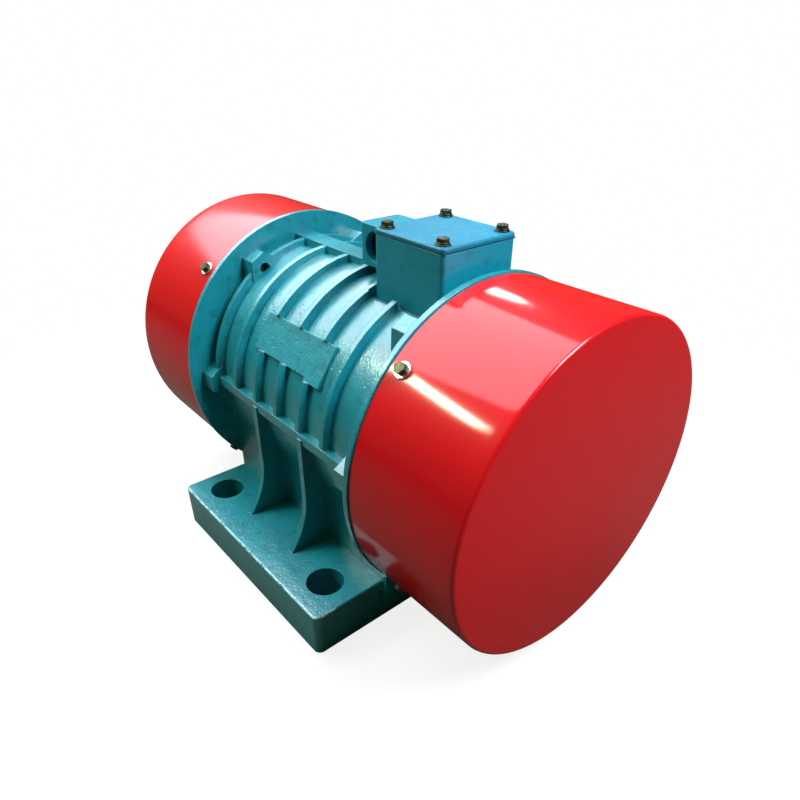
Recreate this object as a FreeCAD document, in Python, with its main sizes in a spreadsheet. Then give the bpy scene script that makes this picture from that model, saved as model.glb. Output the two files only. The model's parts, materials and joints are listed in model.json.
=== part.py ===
"""Vibration motor: a foot-mounted induction motor with eccentric weights under its end covers.

Frame: +X along the shaft, +Z up, origin under the shaft's middle, on the plane the foot stands on.
Every piece is drawn about the shaft axis and then lifted to the shaft's height. The pieces of the
left end are those of the right end turned half round the vertical.
"""
import FreeCAD, Part
import math
import os
import Sketcher

doc = FreeCAD.newDocument("vibration_motor")

# ---------------------------------------------------------------- driving sizes, in millimetres

SIZES = {
    # stance and foot
    "shaft_height": 120, "foot_width": 270, "foot_length": 190, "foot_thickness": 33,
    "foot_corner": 5, "foot_edge": 1.5, "hole_margin": 25, "hole_radius": 13,
    "relief_width": 100, "relief_depth": 4,
    # barrel, flanges and pedestal
    "frame_half": 102.5, "stator_radius": 77.5, "barrel_wall": 12.5, "flange_lip": 1,
    "flange_thickness": 4, "pedestal_inset": 10.5, "pedestal_drop": 110,
    # cooling ribs, ledge and gussets
    "rib_count": 6, "rib_pitch": 28, "rib_height": 5, "rib_foot": 6, "rib_tip": 4.4, "first_rib": 87,
    "ledge_out": 5.5, "ledge_thickness": 7, "ledge_lift": 2, "ledge_left": 86, "ledge_right": 82,
    "gusset_place": 29, "gusset_thickness": 5, "gusset_step": 1, "flare_out": 15.5,
    "flare_rise": 42,
    # bare name pad and the bar along the crown
    "pad_left": 42, "pad_right": 37.5, "pad_width": 27, "pad_rise": 1.5, "pad_angle": 55.5,
    "pad_tab_width": 17, "pad_tab_drop": 2.5,
    "bar_width": 16, "bar_rise": 5.5,
    # end-shield bolts and their lugs
    "lug_count": 6, "lug_angle": 30, "right_lug_length": 21.5, "left_lug_length": 15, "lug_top": 6,
    "lug_foot": 14, "lug_rise": 10.5, "lug_slope": 13, "bolt_inset": 16.2, "bolt_radius": 4,
    "bolt_head": 6.5, "bolt_head_height": 5.3, "bolt_length": 25,
    # end shields
    "spigot_step": 3, "spigot_length": 8, "shield_thickness": 11,
    "spigot_wall": 8.5, "rim_length": 16, "rim_wall": 8.5, "hub_wall": 12, "hub_flare": 6,
    "shield_rib_count": 6, "shield_rib_thickness": 7,
    # bearings
    "seat_gap": 0.02, "bearing_inset": 6.5, "bearing_width": 33, "bearing_radius": 45, "shaft_radius": 20,
    "roller_radius": 6.5, "roller_circle": 32.5, "roller_length": 20, "roller_count": 12,
    "roller_gap": 0.02, "flange_land": 2.5, "cage_wall": 3, "cage_gap": 0.2, "pocket_gap": 0.1,
    # bearing caps, spacers and seals
    "inner_cap": 8, "outer_cap": 8, "cap_radius": 56, "seal_radius": 34, "spacer_radius": 26,
    "seal_gap": 0.05, "cap_screw_circle": 50.5, "cap_screw_radius": 2.5, "cap_screw_head": 4.25,
    "cap_screw_depth": 5, "cap_screw_count": 4,
    # shaft and rotor
    "shoulder_radius": 24, "core_seat_radius": 26, "core_seat_extra": 14, "core_length": 105,
    "air_gap": 0.3, "end_ring": 12, "end_ring_wall": 14, "rotor_bars": 24,
    "bar_depth": 9, "bar_thickness": 5, "bar_cover": 1.5,
    # stator
    "stator_bore": 49, "slot_count": 24, "slot_depth": 16, "slot_mouth": 4, "slot_base": 8,
    "slot_start": 2.5, "turn_inner": 53, "turn_gap": 4.5, "turn_length": 29,
    "turn_bevel": 5.5,
    # eccentric weights
    "weight_gap": 3, "fixed_thickness": 20, "slip_gap": 0.3, "loose_thickness": 18,
    "weight_room": 10, "weight_half_angle": 68, "hub_radius": 30, "weight_bore_gap": 0.03,
    "slit_width": 4, "ear_half": 17, "ear_top": 48, "clamp_height": 36, "clamp_radius": 5,
    "clamp_head": 9, "clamp_head_height": 6.4, "clamp_nut_height": 8,
    "key_width": 10, "key_height": 8, "key_sink": 5, "key_gap": 0.05,
    # shaft end ring
    "ring_thickness": 2.5, "ring_wall": 5, "ring_sink": 1.25, "ring_opening": 12, "shaft_tail": 3,
    "shaft_chamfer": 1.5,
    # end covers and their bolts
    "cover_overhang": 20, "cover_sheet": 2, "cover_room": 2.9, "cover_gap": 0.5, "rim_gap": 0.5,
    "cover_round": 2.2, "cover_bolt_count": 4, "cover_bolt_angle": 45, "cover_bolt_inset": 10.5,
    "cover_bolt_radius": 2.5, "cover_bolt_head": 3.7, "cover_bolt_height": 3.2,
    "cover_bolt_length": 12, "washer_radius": 5.2, "washer_thickness": 1.2, "cover_ring_inset": 2.5,
    "cover_ring_width": 3.5, "cover_ring_depth": 2.5, "cover_ring_gap": 0.05,
    # terminal box
    "plinth_drop": 6, "plinth_border": 3, "box_left": 29, "box_right": 91, "box_half": 30,
    "box_height": 40, "box_wall": 4, "box_floor": 5, "box_corner": 3, "gasket_thickness": 0.6,
    "lid_thickness": 3, "lid_overhang": 0.4, "lid_chamfer": 1, "pillar_radius": 5.5,
    "lid_screw_spacing": 49, "lid_screw_radius": 2.5, "lid_screw_head": 3.8,
    "lid_screw_height": 2.2, "lid_screw_length": 20, "lid_washer_radius": 4.7,
    "lid_washer_thickness": 0.8, "spring_washer_radius": 4, "spring_washer_thickness": 1,
    "wire_hole_radius": 8, "wire_hole_back": 12, "box_screw_radius": 2.5, "box_screw_spacing_x": 42,
    "box_screw_spacing_y": 24, "box_screw_head": 4.2, "box_screw_height": 5, "box_screw_length": 11,
    # cable entry
    "entry_left": 3, "entry_half": 16.5, "entry_drop": 1, "entry_height": 27,
    "entry_radius": 10, "entry_depth": 12, "entry_throat": 7, "bush_recess": 5, "bush_bore": 6.5,
    "grommet_bore": 4.5,
    # terminals
    "block_length": 32, "block_width": 18, "block_height": 12, "block_place": 13,
    "terminal_pitch": 10, "terminal_row": 4.7, "terminal_count": 3, "terminal_radius": 2,
    "terminal_rise": 9, "terminal_sink": 6, "nut_size": 4, "nut_height": 3.2,
    "earth_place_x": 12, "earth_place_y": 20,
}

sheet = doc.addObject("Spreadsheet::Sheet", "dims")
for row, (alias, value) in enumerate(SIZES.items(), start=1):
    sheet.set(f"A{row}", alias)
    sheet.set(f"B{row}", str(value))
    sheet.setAlias(f"B{row}", alias)
doc.recompute()

# ------------------------------------------------- places worked out from the driving sizes
# Stations along the shaft, from the middle of the motor outwards.

FRAME_FACE = "dims.frame_half"
BARREL = "(dims.stator_radius + dims.barrel_wall)"
FLANGE_IN = f"({FRAME_FACE} - dims.flange_thickness)"
LEDGE_REACH = f"({BARREL} + dims.ledge_out)"
GUSSET_REACH = f"({LEDGE_REACH} + dims.gusset_step)"
PEDESTAL_HALF = f"({BARREL} - dims.pedestal_inset)"
PAD_REACH = f"({BARREL} + dims.pad_rise)"
COVER_RADIUS = f"({BARREL} + dims.cover_overhang)"
FLANGE_RADIUS = f"({COVER_RADIUS} + dims.flange_lip)"
COVER_INSIDE = f"({COVER_RADIUS} - dims.cover_sheet)"
RIM_RADIUS = f"({COVER_INSIDE} - dims.rim_gap)"
COVER_CLEAR = f"({COVER_RADIUS} + dims.cover_gap)"
BOLT_CIRCLE = f"({RIM_RADIUS} - dims.bolt_inset)"
SPIGOT_RADIUS = "(dims.stator_radius + dims.spigot_step)"
SHIELD_FACE = f"({FRAME_FACE} + dims.shield_thickness)"
RIM_END = f"({FRAME_FACE} + dims.rim_length)"
BEARING_IN = f"({FRAME_FACE} - dims.bearing_inset)"
BEARING_OUT = f"({BEARING_IN} + dims.bearing_width)"
INNER_CAP_FACE = f"({BEARING_IN} - dims.inner_cap)"
CAP_OUT = f"({BEARING_OUT} + dims.outer_cap)"
SPACER_OUT = f"({CAP_OUT} + dims.weight_gap)"
FIXED_OUT = f"({SPACER_OUT} + dims.fixed_thickness)"
LOOSE_IN = f"({FIXED_OUT} + dims.slip_gap)"
LOOSE_OUT = f"({LOOSE_IN} + dims.loose_thickness)"
RING_IN = f"({LOOSE_OUT} + dims.slip_gap)"
RING_OUT = f"({RING_IN} + dims.ring_thickness)"
SHAFT_END = f"({RING_OUT} + dims.shaft_tail)"
COVER_FLOOR = f"({SHAFT_END} + dims.cover_room)"
COVER_END = f"({COVER_FLOOR} + dims.cover_sheet)"
COVER_MOUTH = f"({FRAME_FACE} + dims.cover_gap)"
COVER_BOLT = f"({FRAME_FACE} + dims.cover_bolt_inset)"
HUB_RADIUS = "(dims.bearing_radius + dims.hub_wall)"
WEB_RADIUS = f"({SPIGOT_RADIUS} - dims.spigot_wall)"
CORE_END = "(dims.core_length / 2)"
CORE_SEAT_END = f"({CORE_END} + dims.core_seat_extra)"
ROTOR_RADIUS = "(dims.stator_bore - dims.air_gap)"
TURN_OUTER = "(dims.stator_radius - dims.turn_gap)"
RACE_IN = "(dims.roller_circle - dims.roller_radius - dims.roller_gap)"
RACE_OUT = "(dims.roller_circle + dims.roller_radius + dims.roller_gap)"
BEARING_MIDDLE = f"({BEARING_IN} + dims.bearing_width / 2)"
WEIGHT_RADIUS = f"({COVER_INSIDE} - dims.weight_room)"
FOOT_TOP = "(dims.foot_thickness - dims.shaft_height)"
FOOT_BOTTOM = "(-dims.shaft_height)"
PLINTH_TOP = f"({BARREL} - dims.plinth_drop)"
BOX_BOTTOM = f"({PLINTH_TOP} + dims.gasket_thickness)"
BOX_TOP = f"({BOX_BOTTOM} + dims.box_height)"
LID_BOTTOM = f"({BOX_TOP} + dims.gasket_thickness)"
LID_TOP = f"({LID_BOTTOM} + dims.lid_thickness)"
BOX_FLOOR_TOP = f"({BOX_BOTTOM} + dims.box_floor)"
BOX_MIDDLE = "((dims.box_left + dims.box_right) / 2)"
BLOCK_TOP = f"({BOX_FLOOR_TOP} + dims.block_height)"
BOX_SCREW_BITE = f"({PLINTH_TOP} - {BOX_FLOOR_TOP} + dims.box_screw_length)"
EARTH_PLACE = (f"{BOX_MIDDLE} + dims.earth_place_x", "-dims.earth_place_y")
EARTH_BITE = "(dims.box_floor - dims.slip_gap)"
ENTRY_X = "((dims.box_left - dims.entry_left) / 2)"
ENTRY_BOTTOM = f"({BOX_TOP} - dims.entry_drop - dims.entry_height)"
ENTRY_Z = f"({ENTRY_BOTTOM} + dims.entry_height / 2)"
COVER_RING_IN = f"({COVER_MOUTH} + dims.cover_ring_inset)"
COVER_BOLT_ANGLE = "dims.cover_bolt_angle"
COVER_BOLT_TIP = f"({COVER_RADIUS} + dims.washer_thickness - dims.cover_bolt_length)"
COVER_BOLT_BITE = f"({RIM_RADIUS} - {COVER_BOLT_TIP} + dims.slip_gap)"


def size(expression):
    """The number that an expression of the sheet's sizes comes to."""
    return float(sheet.evalExpression(expression))


# ------------------------------------------------------------------------ drawing helpers

SAME_PLACE = 1e-4
pieces = []


def new_piece(name, left=False):
    """An empty body on the shaft's axis; the left one is turned half round the vertical."""
    body = doc.addObject("PartDesign::Body", name)
    body.Label = name
    body.AllowCompound = True
    turn = 180 if left else 0
    body.Placement = FreeCAD.Placement(FreeCAD.Vector(), FreeCAD.Rotation(FreeCAD.Vector(0, 0, 1), turn))
    body.setExpression("Placement.Base.z", "dims.shaft_height")
    pieces.append(body)
    return body


def origin_of(body, role):
    """One of the body's own origin planes or axes, found by its role."""
    return next(item for item in body.Origin.OriginFeatures if item.Role == role)


def new_sketch(body, plane, offset="0", lean=None, turn=None):
    """A sketch on one of the body's own planes, moved along its own normal.

    lean tips the plane about X, and turn spins the sketch in its own plane, both in degrees.
    """
    sketch = body.newObject("Sketcher::SketchObject", f"{body.Name}_outline")
    sketch.AttachmentSupport = (origin_of(body, plane), [""])
    sketch.MapMode = "FlatFace"
    if lean is not None:
        sketch.AttachmentOffset = FreeCAD.Placement(
            FreeCAD.Vector(), FreeCAD.Rotation(FreeCAD.Vector(1, 0, 0), size(lean)))
        sketch.setExpression("AttachmentOffset.Rotation.Angle", lean)
        sketch.setExpression("AttachmentOffset.Base.y", f"-({offset}) * sin({lean})")
        offset = f"({offset}) * cos({lean})"
    if turn is not None:
        sketch.AttachmentOffset = FreeCAD.Placement(
            FreeCAD.Vector(), FreeCAD.Rotation(FreeCAD.Vector(0, 0, 1), size(turn)))
        sketch.setExpression("AttachmentOffset.Rotation.Angle", turn)
    sketch.setExpression("AttachmentOffset.Base.z", offset)
    return sketch


def bind(sketch, kind, references, expression):
    """A driving constraint whose value follows an expression of the sheet's sizes."""
    index = sketch.addConstraint(Sketcher.Constraint(kind, *references, size(expression)))
    sketch.setExpression(f"Constraints[{index}]", expression)


def add_arc(sketch, start, end, radius):
    """Arc under half a turn from start to end; a positive radius turns left, a negative right."""
    chord = end - start
    middle = (start + end) * 0.5
    side = 1 if radius > 0 else -1
    rise = math.sqrt(max(radius ** 2 - (chord.Length / 2) ** 2, 0))
    across = FreeCAD.Vector(-chord.y, chord.x, 0).normalize()
    centre = middle + across * (rise * side)
    circle = Part.Circle(centre, FreeCAD.Vector(0, 0, 1), abs(radius))
    first, last = (start, end) if side > 0 else (end, start)
    angles = [math.atan2(point.y - centre.y, point.x - centre.x) for point in (first, last)]
    if angles[1] < angles[0]:
        angles[1] += 2 * math.pi
    return sketch.addGeometry(Part.ArcOfCircle(circle, *angles))


def draw_loop(sketch, corners):
    """A closed outline. A corner is (x, y), or (x, y, radius) where an arc leads to it."""
    points = [FreeCAD.Vector(size(corner[0]), size(corner[1]), 0) for corner in corners]
    ends = []
    for place, corner in enumerate(corners):
        start = points[place - 1]
        if len(corner) == 2:
            edge = sketch.addGeometry(Part.LineSegment(start, points[place]))
            ends.append((edge, 1, 2))
            continue
        radius = size(corner[2])
        edge = add_arc(sketch, start, points[place], radius)
        ends.append((edge, 1, 2) if radius > 0 else (edge, 2, 1))
    for (edge, _, last), following, corner in zip(ends, ends[1:] + ends[:1], corners):
        sketch.addConstraint(Sketcher.Constraint("Coincident", edge, last, following[0], following[1]))
        bind(sketch, "DistanceX", (-1, 1, edge, last), corner[0])
        bind(sketch, "DistanceY", (-1, 1, edge, last), corner[1])
        if len(corner) == 3:
            bind(sketch, "Radius", (edge,), corner[2] if size(corner[2]) > 0 else f"-({corner[2]})")


def draw_circle(sketch, x, y, radius):
    """A whole circle, its centre and radius bound to the sheet."""
    centre = FreeCAD.Vector(size(x), size(y), 0)
    circle = sketch.addGeometry(Part.Circle(centre, FreeCAD.Vector(0, 0, 1), size(radius)))
    bind(sketch, "DistanceX", (-1, 1, circle, 3), x)
    bind(sketch, "DistanceY", (-1, 1, circle, 3), y)
    bind(sketch, "Radius", (circle,), radius)


def draw_box(sketch, x_low, x_high, y_low, y_high):
    """An upright rectangle."""
    draw_loop(sketch, [(x_low, y_low), (x_high, y_low), (x_high, y_high), (x_low, y_high)])


def draw_hexagon(sketch, x, y, corner_radius):
    """A hexagon with two corners on the sketch's first axis."""
    corners = [
        (f"{x} + {corner_radius} * cos({60 * step})", f"{y} + {corner_radius} * sin({60 * step})")
        for step in range(6)]
    draw_loop(sketch, corners)


def grow(body, sketch, length, backwards=False, kind="Pad"):
    """A straight Pad or Pocket of a sketch, along its normal or against it."""
    feature = body.newObject(f"PartDesign::{kind}", f"{body.Name}_{kind.lower()}")
    feature.Profile = sketch
    feature.Reversed = backwards
    feature.setExpression("Length", length)
    sketch.Visibility = False
    doc.recompute()
    return feature


def sink(body, sketch, length, backwards=False):
    """A Pocket, which must take something away."""
    before = body.Shape.Volume
    feature = grow(body, sketch, length, backwards, "Pocket")
    if not body.Shape.Volume < before:
        raise RuntimeError(f"a pocket of {body.Label} cuts nothing")
    return feature


def turn_about(body, sketch, angle="360", kind="Revolution"):
    """A Revolution or Groove about the shaft's axis."""
    feature = body.newObject(f"PartDesign::{kind}", f"{body.Name}_{kind.lower()}")
    feature.Profile = sketch
    feature.ReferenceAxis = (origin_of(body, "X_Axis"), [""])
    feature.setExpression("Angle", angle)
    sketch.Visibility = False
    doc.recompute()
    return feature


def repeat_round(body, features, count):
    """The features repeated evenly round the shaft's axis."""
    pattern = body.newObject("PartDesign::PolarPattern", f"{body.Name}_ring")
    pattern.Originals = features
    pattern.Axis = (origin_of(body, "X_Axis"), [""])
    pattern.Angle = 360
    pattern.setExpression("Occurrences", count)
    body.Tip = pattern
    doc.recompute()
    return pattern


def repeat_along(body, features, length, count):
    """The features repeated evenly along the shaft's axis, over the given length."""
    pattern = body.newObject("PartDesign::LinearPattern", f"{body.Name}_row")
    pattern.Originals = features
    pattern.Direction = (origin_of(body, "X_Axis"), [""])
    pattern.setExpression("Length", length)
    pattern.setExpression("Occurrences", count)
    body.Tip = pattern
    doc.recompute()
    return pattern


def repeat_at_left(body):
    """Everything in the body repeated at the left end of the motor."""
    mirrored = body.newObject("PartDesign::Mirrored", f"{body.Name}_both")
    mirrored.TransformMode = "Whole shape"
    mirrored.MirrorPlane = (origin_of(body, "YZ_Plane"), [""])
    body.Tip = mirrored
    doc.recompute()


def dress_edges(body, chosen, amount, kind="Fillet"):
    """Fillet or chamfer of the edges that pass the test."""
    base = body.Tip
    names = [f"Edge{place}" for place, edge in enumerate(base.Shape.Edges, start=1) if chosen(edge)]
    if not names:
        raise RuntimeError(f"{body.Label} has no such edge")
    feature = body.newObject(f"PartDesign::{kind}", f"{body.Name}_{kind.lower()}")
    feature.Base = (base, names)
    feature.setExpression("Radius" if kind == "Fillet" else "Size", amount)
    doc.recompute()
    return feature


def shaft_ring(body, x_low, x_high, r_low, r_high):
    """A plain ring about the shaft's axis."""
    sketch = new_sketch(body, "XZ_Plane")
    draw_box(sketch, x_low, x_high, r_low, r_high)
    return turn_about(body, sketch)


def is_upright(edge):
    """True for a straight vertical edge."""
    ends = [vertex.Point for vertex in edge.Vertexes]
    return len(ends) == 2 and edge.Curve.TypeId == "Part::GeomLine" and (
        abs(ends[0].x - ends[1].x) + abs(ends[0].y - ends[1].y) < SAME_PLACE)


def lies_at(edge, height):
    """True where the whole edge lies at one height."""
    return abs(edge.BoundBox.ZMin - height) + abs(edge.BoundBox.ZMax - height) < SAME_PLACE


# ---------------------------------------------------------------------------- the frame

def frame_casting():
    """Barrel with its flanges, ribs, lugs, name pad, plinth, ledge, gussets and foot, cast in one."""
    body = new_piece("frame_casting")
    foot = new_sketch(body, "XY_Plane", FOOT_BOTTOM)
    draw_box(foot, "-dims.foot_length / 2", "dims.foot_length / 2",
             "-dims.foot_width / 2", "dims.foot_width / 2")
    grow(body, foot, "dims.foot_thickness")
    dress_edges(body, is_upright, "dims.foot_corner")
    top = size(FOOT_TOP)
    dress_edges(body, lambda edge: lies_at(edge, top), "dims.foot_edge")
    turn_about(body, barrel_outline(body))

    pedestal = new_sketch(body, "XY_Plane", "-dims.pedestal_drop")
    draw_box(pedestal, f"-{FLANGE_IN}", FLANGE_IN, f"-{PEDESTAL_HALF}", PEDESTAL_HALF)
    grow(body, pedestal, "dims.pedestal_drop")
    for place in ("-dims.gusset_place", "dims.gusset_place"):
        add_gusset(body, place)
    ledge = new_sketch(body, "XY_Plane", "dims.ledge_lift - dims.ledge_thickness / 2")
    draw_box(ledge, "-dims.ledge_left", "dims.ledge_right", f"-{LEDGE_REACH}", LEDGE_REACH)
    grow(body, ledge, "dims.ledge_thickness")
    add_ribs(body)
    add_name_pad(body)
    crown_bar = new_sketch(body, "XY_Plane")
    draw_box(crown_bar, f"-{FLANGE_IN}", "dims.box_left - dims.plinth_border",
             "-dims.bar_width / 2", "dims.bar_width / 2")
    grow(body, crown_bar, f"{BARREL} + dims.bar_rise")
    add_plinth(body)
    add_lugs(body)
    bore_frame(body)
    drill_foot(body)


def barrel_outline(body):
    """Half section of the barrel and its two flanges, from the shaft's axis outwards."""
    sketch = new_sketch(body, "XZ_Plane")
    draw_loop(sketch, [
        (f"-{FRAME_FACE}", "0"), (FRAME_FACE, "0"),
        (FRAME_FACE, FLANGE_RADIUS), (FLANGE_IN, FLANGE_RADIUS),
        (FLANGE_IN, BARREL), (f"-{FLANGE_IN}", BARREL),
        (f"-{FLANGE_IN}", FLANGE_RADIUS), (f"-{FRAME_FACE}", FLANGE_RADIUS)])
    return sketch


def add_gusset(body, place):
    """Web across the pedestal under the ledge; its front edge flares out to the foot in an arc."""
    flare = "((dims.flare_out ^ 2 + dims.flare_rise ^ 2) / (2 * dims.flare_out))"
    knee = f"{FOOT_TOP} + dims.flare_rise"
    toe = f"{GUSSET_REACH} + dims.flare_out"
    sketch = new_sketch(body, "YZ_Plane", f"{place} - dims.gusset_thickness / 2")
    draw_loop(sketch, [
        (f"-{GUSSET_REACH}", "dims.ledge_lift"), (f"-{GUSSET_REACH}", knee),
        (f"-({toe})", FOOT_TOP, f"-{flare}"), (toe, FOOT_TOP),
        (GUSSET_REACH, knee, f"-{flare}"), (GUSSET_REACH, "dims.ledge_lift")])
    grow(body, sketch, "dims.gusset_thickness")


def add_ribs(body):
    """Cooling ribs over the upper half of the barrel, drafted towards their tips."""
    root = f"({BARREL} - dims.rib_height)"
    tip = f"({BARREL} + dims.rib_height)"
    sketch = new_sketch(body, "XY_Plane")
    draw_loop(sketch, [
        ("-dims.first_rib - dims.rib_foot / 2", root), ("-dims.first_rib + dims.rib_foot / 2", root),
        ("-dims.first_rib + dims.rib_tip / 2", tip), ("-dims.first_rib - dims.rib_tip / 2", tip)])
    rib = turn_about(body, sketch, angle="180")
    repeat_along(body, [rib], "dims.rib_pitch * (dims.rib_count - 1)", "dims.rib_count")


def add_name_pad(body):
    """Bare flat pad sunk into the ribs on the front shoulder, with a short tab at its lower corner."""
    above = pad_outline(body, PAD_REACH)
    sink(body, above, "dims.rib_height", backwards=True)
    grow(body, pad_outline(body, "0"), PAD_REACH)


def pad_outline(body, reach):
    """Outline of the name pad on a plane that leans with it."""
    sketch = new_sketch(body, "XY_Plane", reach, lean="dims.pad_angle")
    low = "-dims.pad_width / 2"
    tab = "dims.pad_right - dims.pad_tab_width"
    draw_loop(sketch, [
        ("-dims.pad_left", low), (tab, low), (tab, f"{low} - dims.pad_tab_drop"),
        ("dims.pad_right", f"{low} - dims.pad_tab_drop"), ("dims.pad_right", "dims.pad_width / 2"),
        ("-dims.pad_left", "dims.pad_width / 2")])
    return sketch


def add_plinth(body):
    """Flat seat for the terminal box, cut level into the crown, with its wire and screw holes."""
    edges = ("dims.box_left - dims.plinth_border", "dims.box_right + dims.plinth_border",
             "-dims.box_half - dims.plinth_border", "dims.box_half + dims.plinth_border")
    seat = new_sketch(body, "XY_Plane")
    draw_box(seat, *edges)
    grow(body, seat, PLINTH_TOP)
    above = new_sketch(body, "XY_Plane", PLINTH_TOP)
    draw_box(above, *edges)
    sink(body, above, f"{BARREL} + dims.rib_height - {PLINTH_TOP}", backwards=True)
    holes = new_sketch(body, "XY_Plane", PLINTH_TOP)
    draw_circle(holes, BOX_MIDDLE, "-dims.wire_hole_back", "dims.wire_hole_radius")
    sink(body, holes, "dims.barrel_wall")
    taps = new_sketch(body, "XY_Plane", PLINTH_TOP)
    for x, y in box_screw_places():
        draw_circle(taps, x, y, "dims.box_screw_radius + dims.seat_gap")
    sink(body, taps, BOX_SCREW_BITE)


def add_lugs(body):
    """Tapped lugs behind both flanges for the bolts that hold the end shields."""
    top = f"{BOLT_CIRCLE} + dims.lug_rise"
    right, left = "dims.right_lug_length", "dims.left_lug_length"
    for start, length in ((f"{FLANGE_IN} - {right}", right), (f"-{FLANGE_IN}", left)):
        lug = new_sketch(body, "YZ_Plane", start, turn="dims.lug_angle")
        draw_loop(lug, [
            ("-dims.lug_foot", "dims.stator_radius"), ("dims.lug_foot", "dims.stator_radius"),
            ("dims.lug_foot", f"{top} - dims.lug_slope"), ("dims.lug_top", top),
            ("-dims.lug_top", top), ("-dims.lug_foot", f"{top} - dims.lug_slope")])
        repeat_round(body, [grow(body, lug, length)], "dims.lug_count")
    for start, length in ((f"{FLANGE_IN} - {right}", right), (f"-{FRAME_FACE}", left)):
        tap = new_sketch(body, "YZ_Plane", start, turn="dims.lug_angle")
        draw_circle(tap, "0", BOLT_CIRCLE, "dims.bolt_radius + dims.seat_gap")
        depth = f"{length} + dims.flange_thickness"
        repeat_round(body, [sink(body, tap, depth, backwards=True)], "dims.lug_count")


def bore_frame(body):
    """Bore for the stator, stepped wider at both ends for the end shields' spigots.

    Beyond both flanges it clears the end covers, should the foot reach out under them.
    """
    step = f"({FRAME_FACE} - dims.spigot_length)"
    beyond = f"({COVER_END} + dims.cover_gap)"
    right = [
        (step, "dims.stator_radius"), (step, SPIGOT_RADIUS), (FRAME_FACE, SPIGOT_RADIUS),
        (FRAME_FACE, COVER_CLEAR), (beyond, COVER_CLEAR), (beyond, "0")]
    left = [(f"-{x}", radius) for x, radius in reversed(right)]
    sketch = new_sketch(body, "XZ_Plane")
    draw_loop(sketch, left + right)
    turn_about(body, sketch, kind="Groove")


def drill_foot(body):
    """The four foot holes, and the relief that leaves two machined strips under the foot."""
    holes = new_sketch(body, "XY_Plane", FOOT_BOTTOM)
    for x in ("-dims.foot_length / 2 + dims.hole_margin", "dims.foot_length / 2 - dims.hole_margin"):
        for y in ("-dims.foot_width / 2 + dims.hole_margin", "dims.foot_width / 2 - dims.hole_margin"):
            draw_circle(holes, x, y, "dims.hole_radius")
    sink(body, holes, "dims.foot_thickness", backwards=True)
    relief = new_sketch(body, "XY_Plane", FOOT_BOTTOM)
    draw_box(relief, "-dims.foot_length / 2", "dims.foot_length / 2",
             "-dims.relief_width / 2", "dims.relief_width / 2")
    sink(body, relief, "dims.relief_depth", backwards=True)


# ------------------------------------------------------------------- end shields and bearings

def end_shield(side, left):
    """Cast bearing carrier: spigot, disc, cover rim, flared hub with a bearing seat, and webs."""
    body = new_piece(f"end_shield_{side}", left)
    spigot_in = f"({FRAME_FACE} - dims.spigot_length)"
    disc_in = f"({FRAME_FACE} - dims.hub_flare / 2)"
    spigot = f"({SPIGOT_RADIUS} - dims.seat_gap)"
    section = new_sketch(body, "XZ_Plane")
    draw_loop(section, [
        (BEARING_IN, "dims.bearing_radius"), (BEARING_OUT, "dims.bearing_radius"),
        (BEARING_OUT, HUB_RADIUS), (SHIELD_FACE, f"{HUB_RADIUS} + dims.hub_flare"),
        (SHIELD_FACE, f"{RIM_RADIUS} - dims.rim_wall"), (RIM_END, f"{RIM_RADIUS} - dims.rim_wall"),
        (RIM_END, RIM_RADIUS), (FRAME_FACE, RIM_RADIUS), (FRAME_FACE, spigot),
        (spigot_in, spigot), (spigot_in, WEB_RADIUS), (disc_in, WEB_RADIUS),
        (disc_in, f"{HUB_RADIUS} + dims.hub_flare"), (BEARING_IN, HUB_RADIUS)])
    turn_about(body, section)
    web = new_sketch(body, "XZ_Plane", "-dims.shield_rib_thickness / 2")
    draw_loop(web, [
        (f"{SHIELD_FACE} - dims.shield_rib_thickness", f"{HUB_RADIUS} - dims.hub_wall / 2"),
        (BEARING_OUT, f"{HUB_RADIUS} - dims.hub_wall / 2"), (BEARING_OUT, HUB_RADIUS),
        (SHIELD_FACE, f"{RIM_RADIUS} - dims.rim_wall"),
        (f"{SHIELD_FACE} - dims.shield_rib_thickness", f"{RIM_RADIUS} - dims.rim_wall")])
    repeat_round(body, [grow(body, web, "dims.shield_rib_thickness")], "dims.shield_rib_count")

    bolts = new_sketch(body, "YZ_Plane", spigot_in, turn="dims.lug_angle")
    draw_circle(bolts, "0", BOLT_CIRCLE, "dims.bolt_radius + dims.seat_gap")
    drill = sink(body, bolts, f"{SHIELD_FACE} - {spigot_in}", backwards=True)
    repeat_round(body, [drill], "dims.lug_count")
    screws = new_sketch(body, "YZ_Plane", BEARING_IN)
    draw_circle(screws, "0", "dims.cap_screw_circle", "dims.cap_screw_radius + dims.seat_gap")
    repeat_round(body, [sink(body, screws, "dims.bearing_width", backwards=True)],
                 "dims.cap_screw_count")
    groove = new_sketch(body, "XZ_Plane")
    draw_box(groove, COVER_RING_IN, f"{COVER_RING_IN} + dims.cover_ring_width",
             f"{COVER_INSIDE} - dims.cover_ring_depth", RIM_RADIUS)
    turn_about(body, groove, kind="Groove")
    taps = new_sketch(body, "XY_Plane", f"{RIM_RADIUS}", lean=COVER_BOLT_ANGLE)
    draw_circle(taps, COVER_BOLT, "0", "dims.cover_bolt_radius + dims.seat_gap")
    repeat_round(body, [sink(body, taps, COVER_BOLT_BITE)], "dims.cover_bolt_count")


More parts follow.
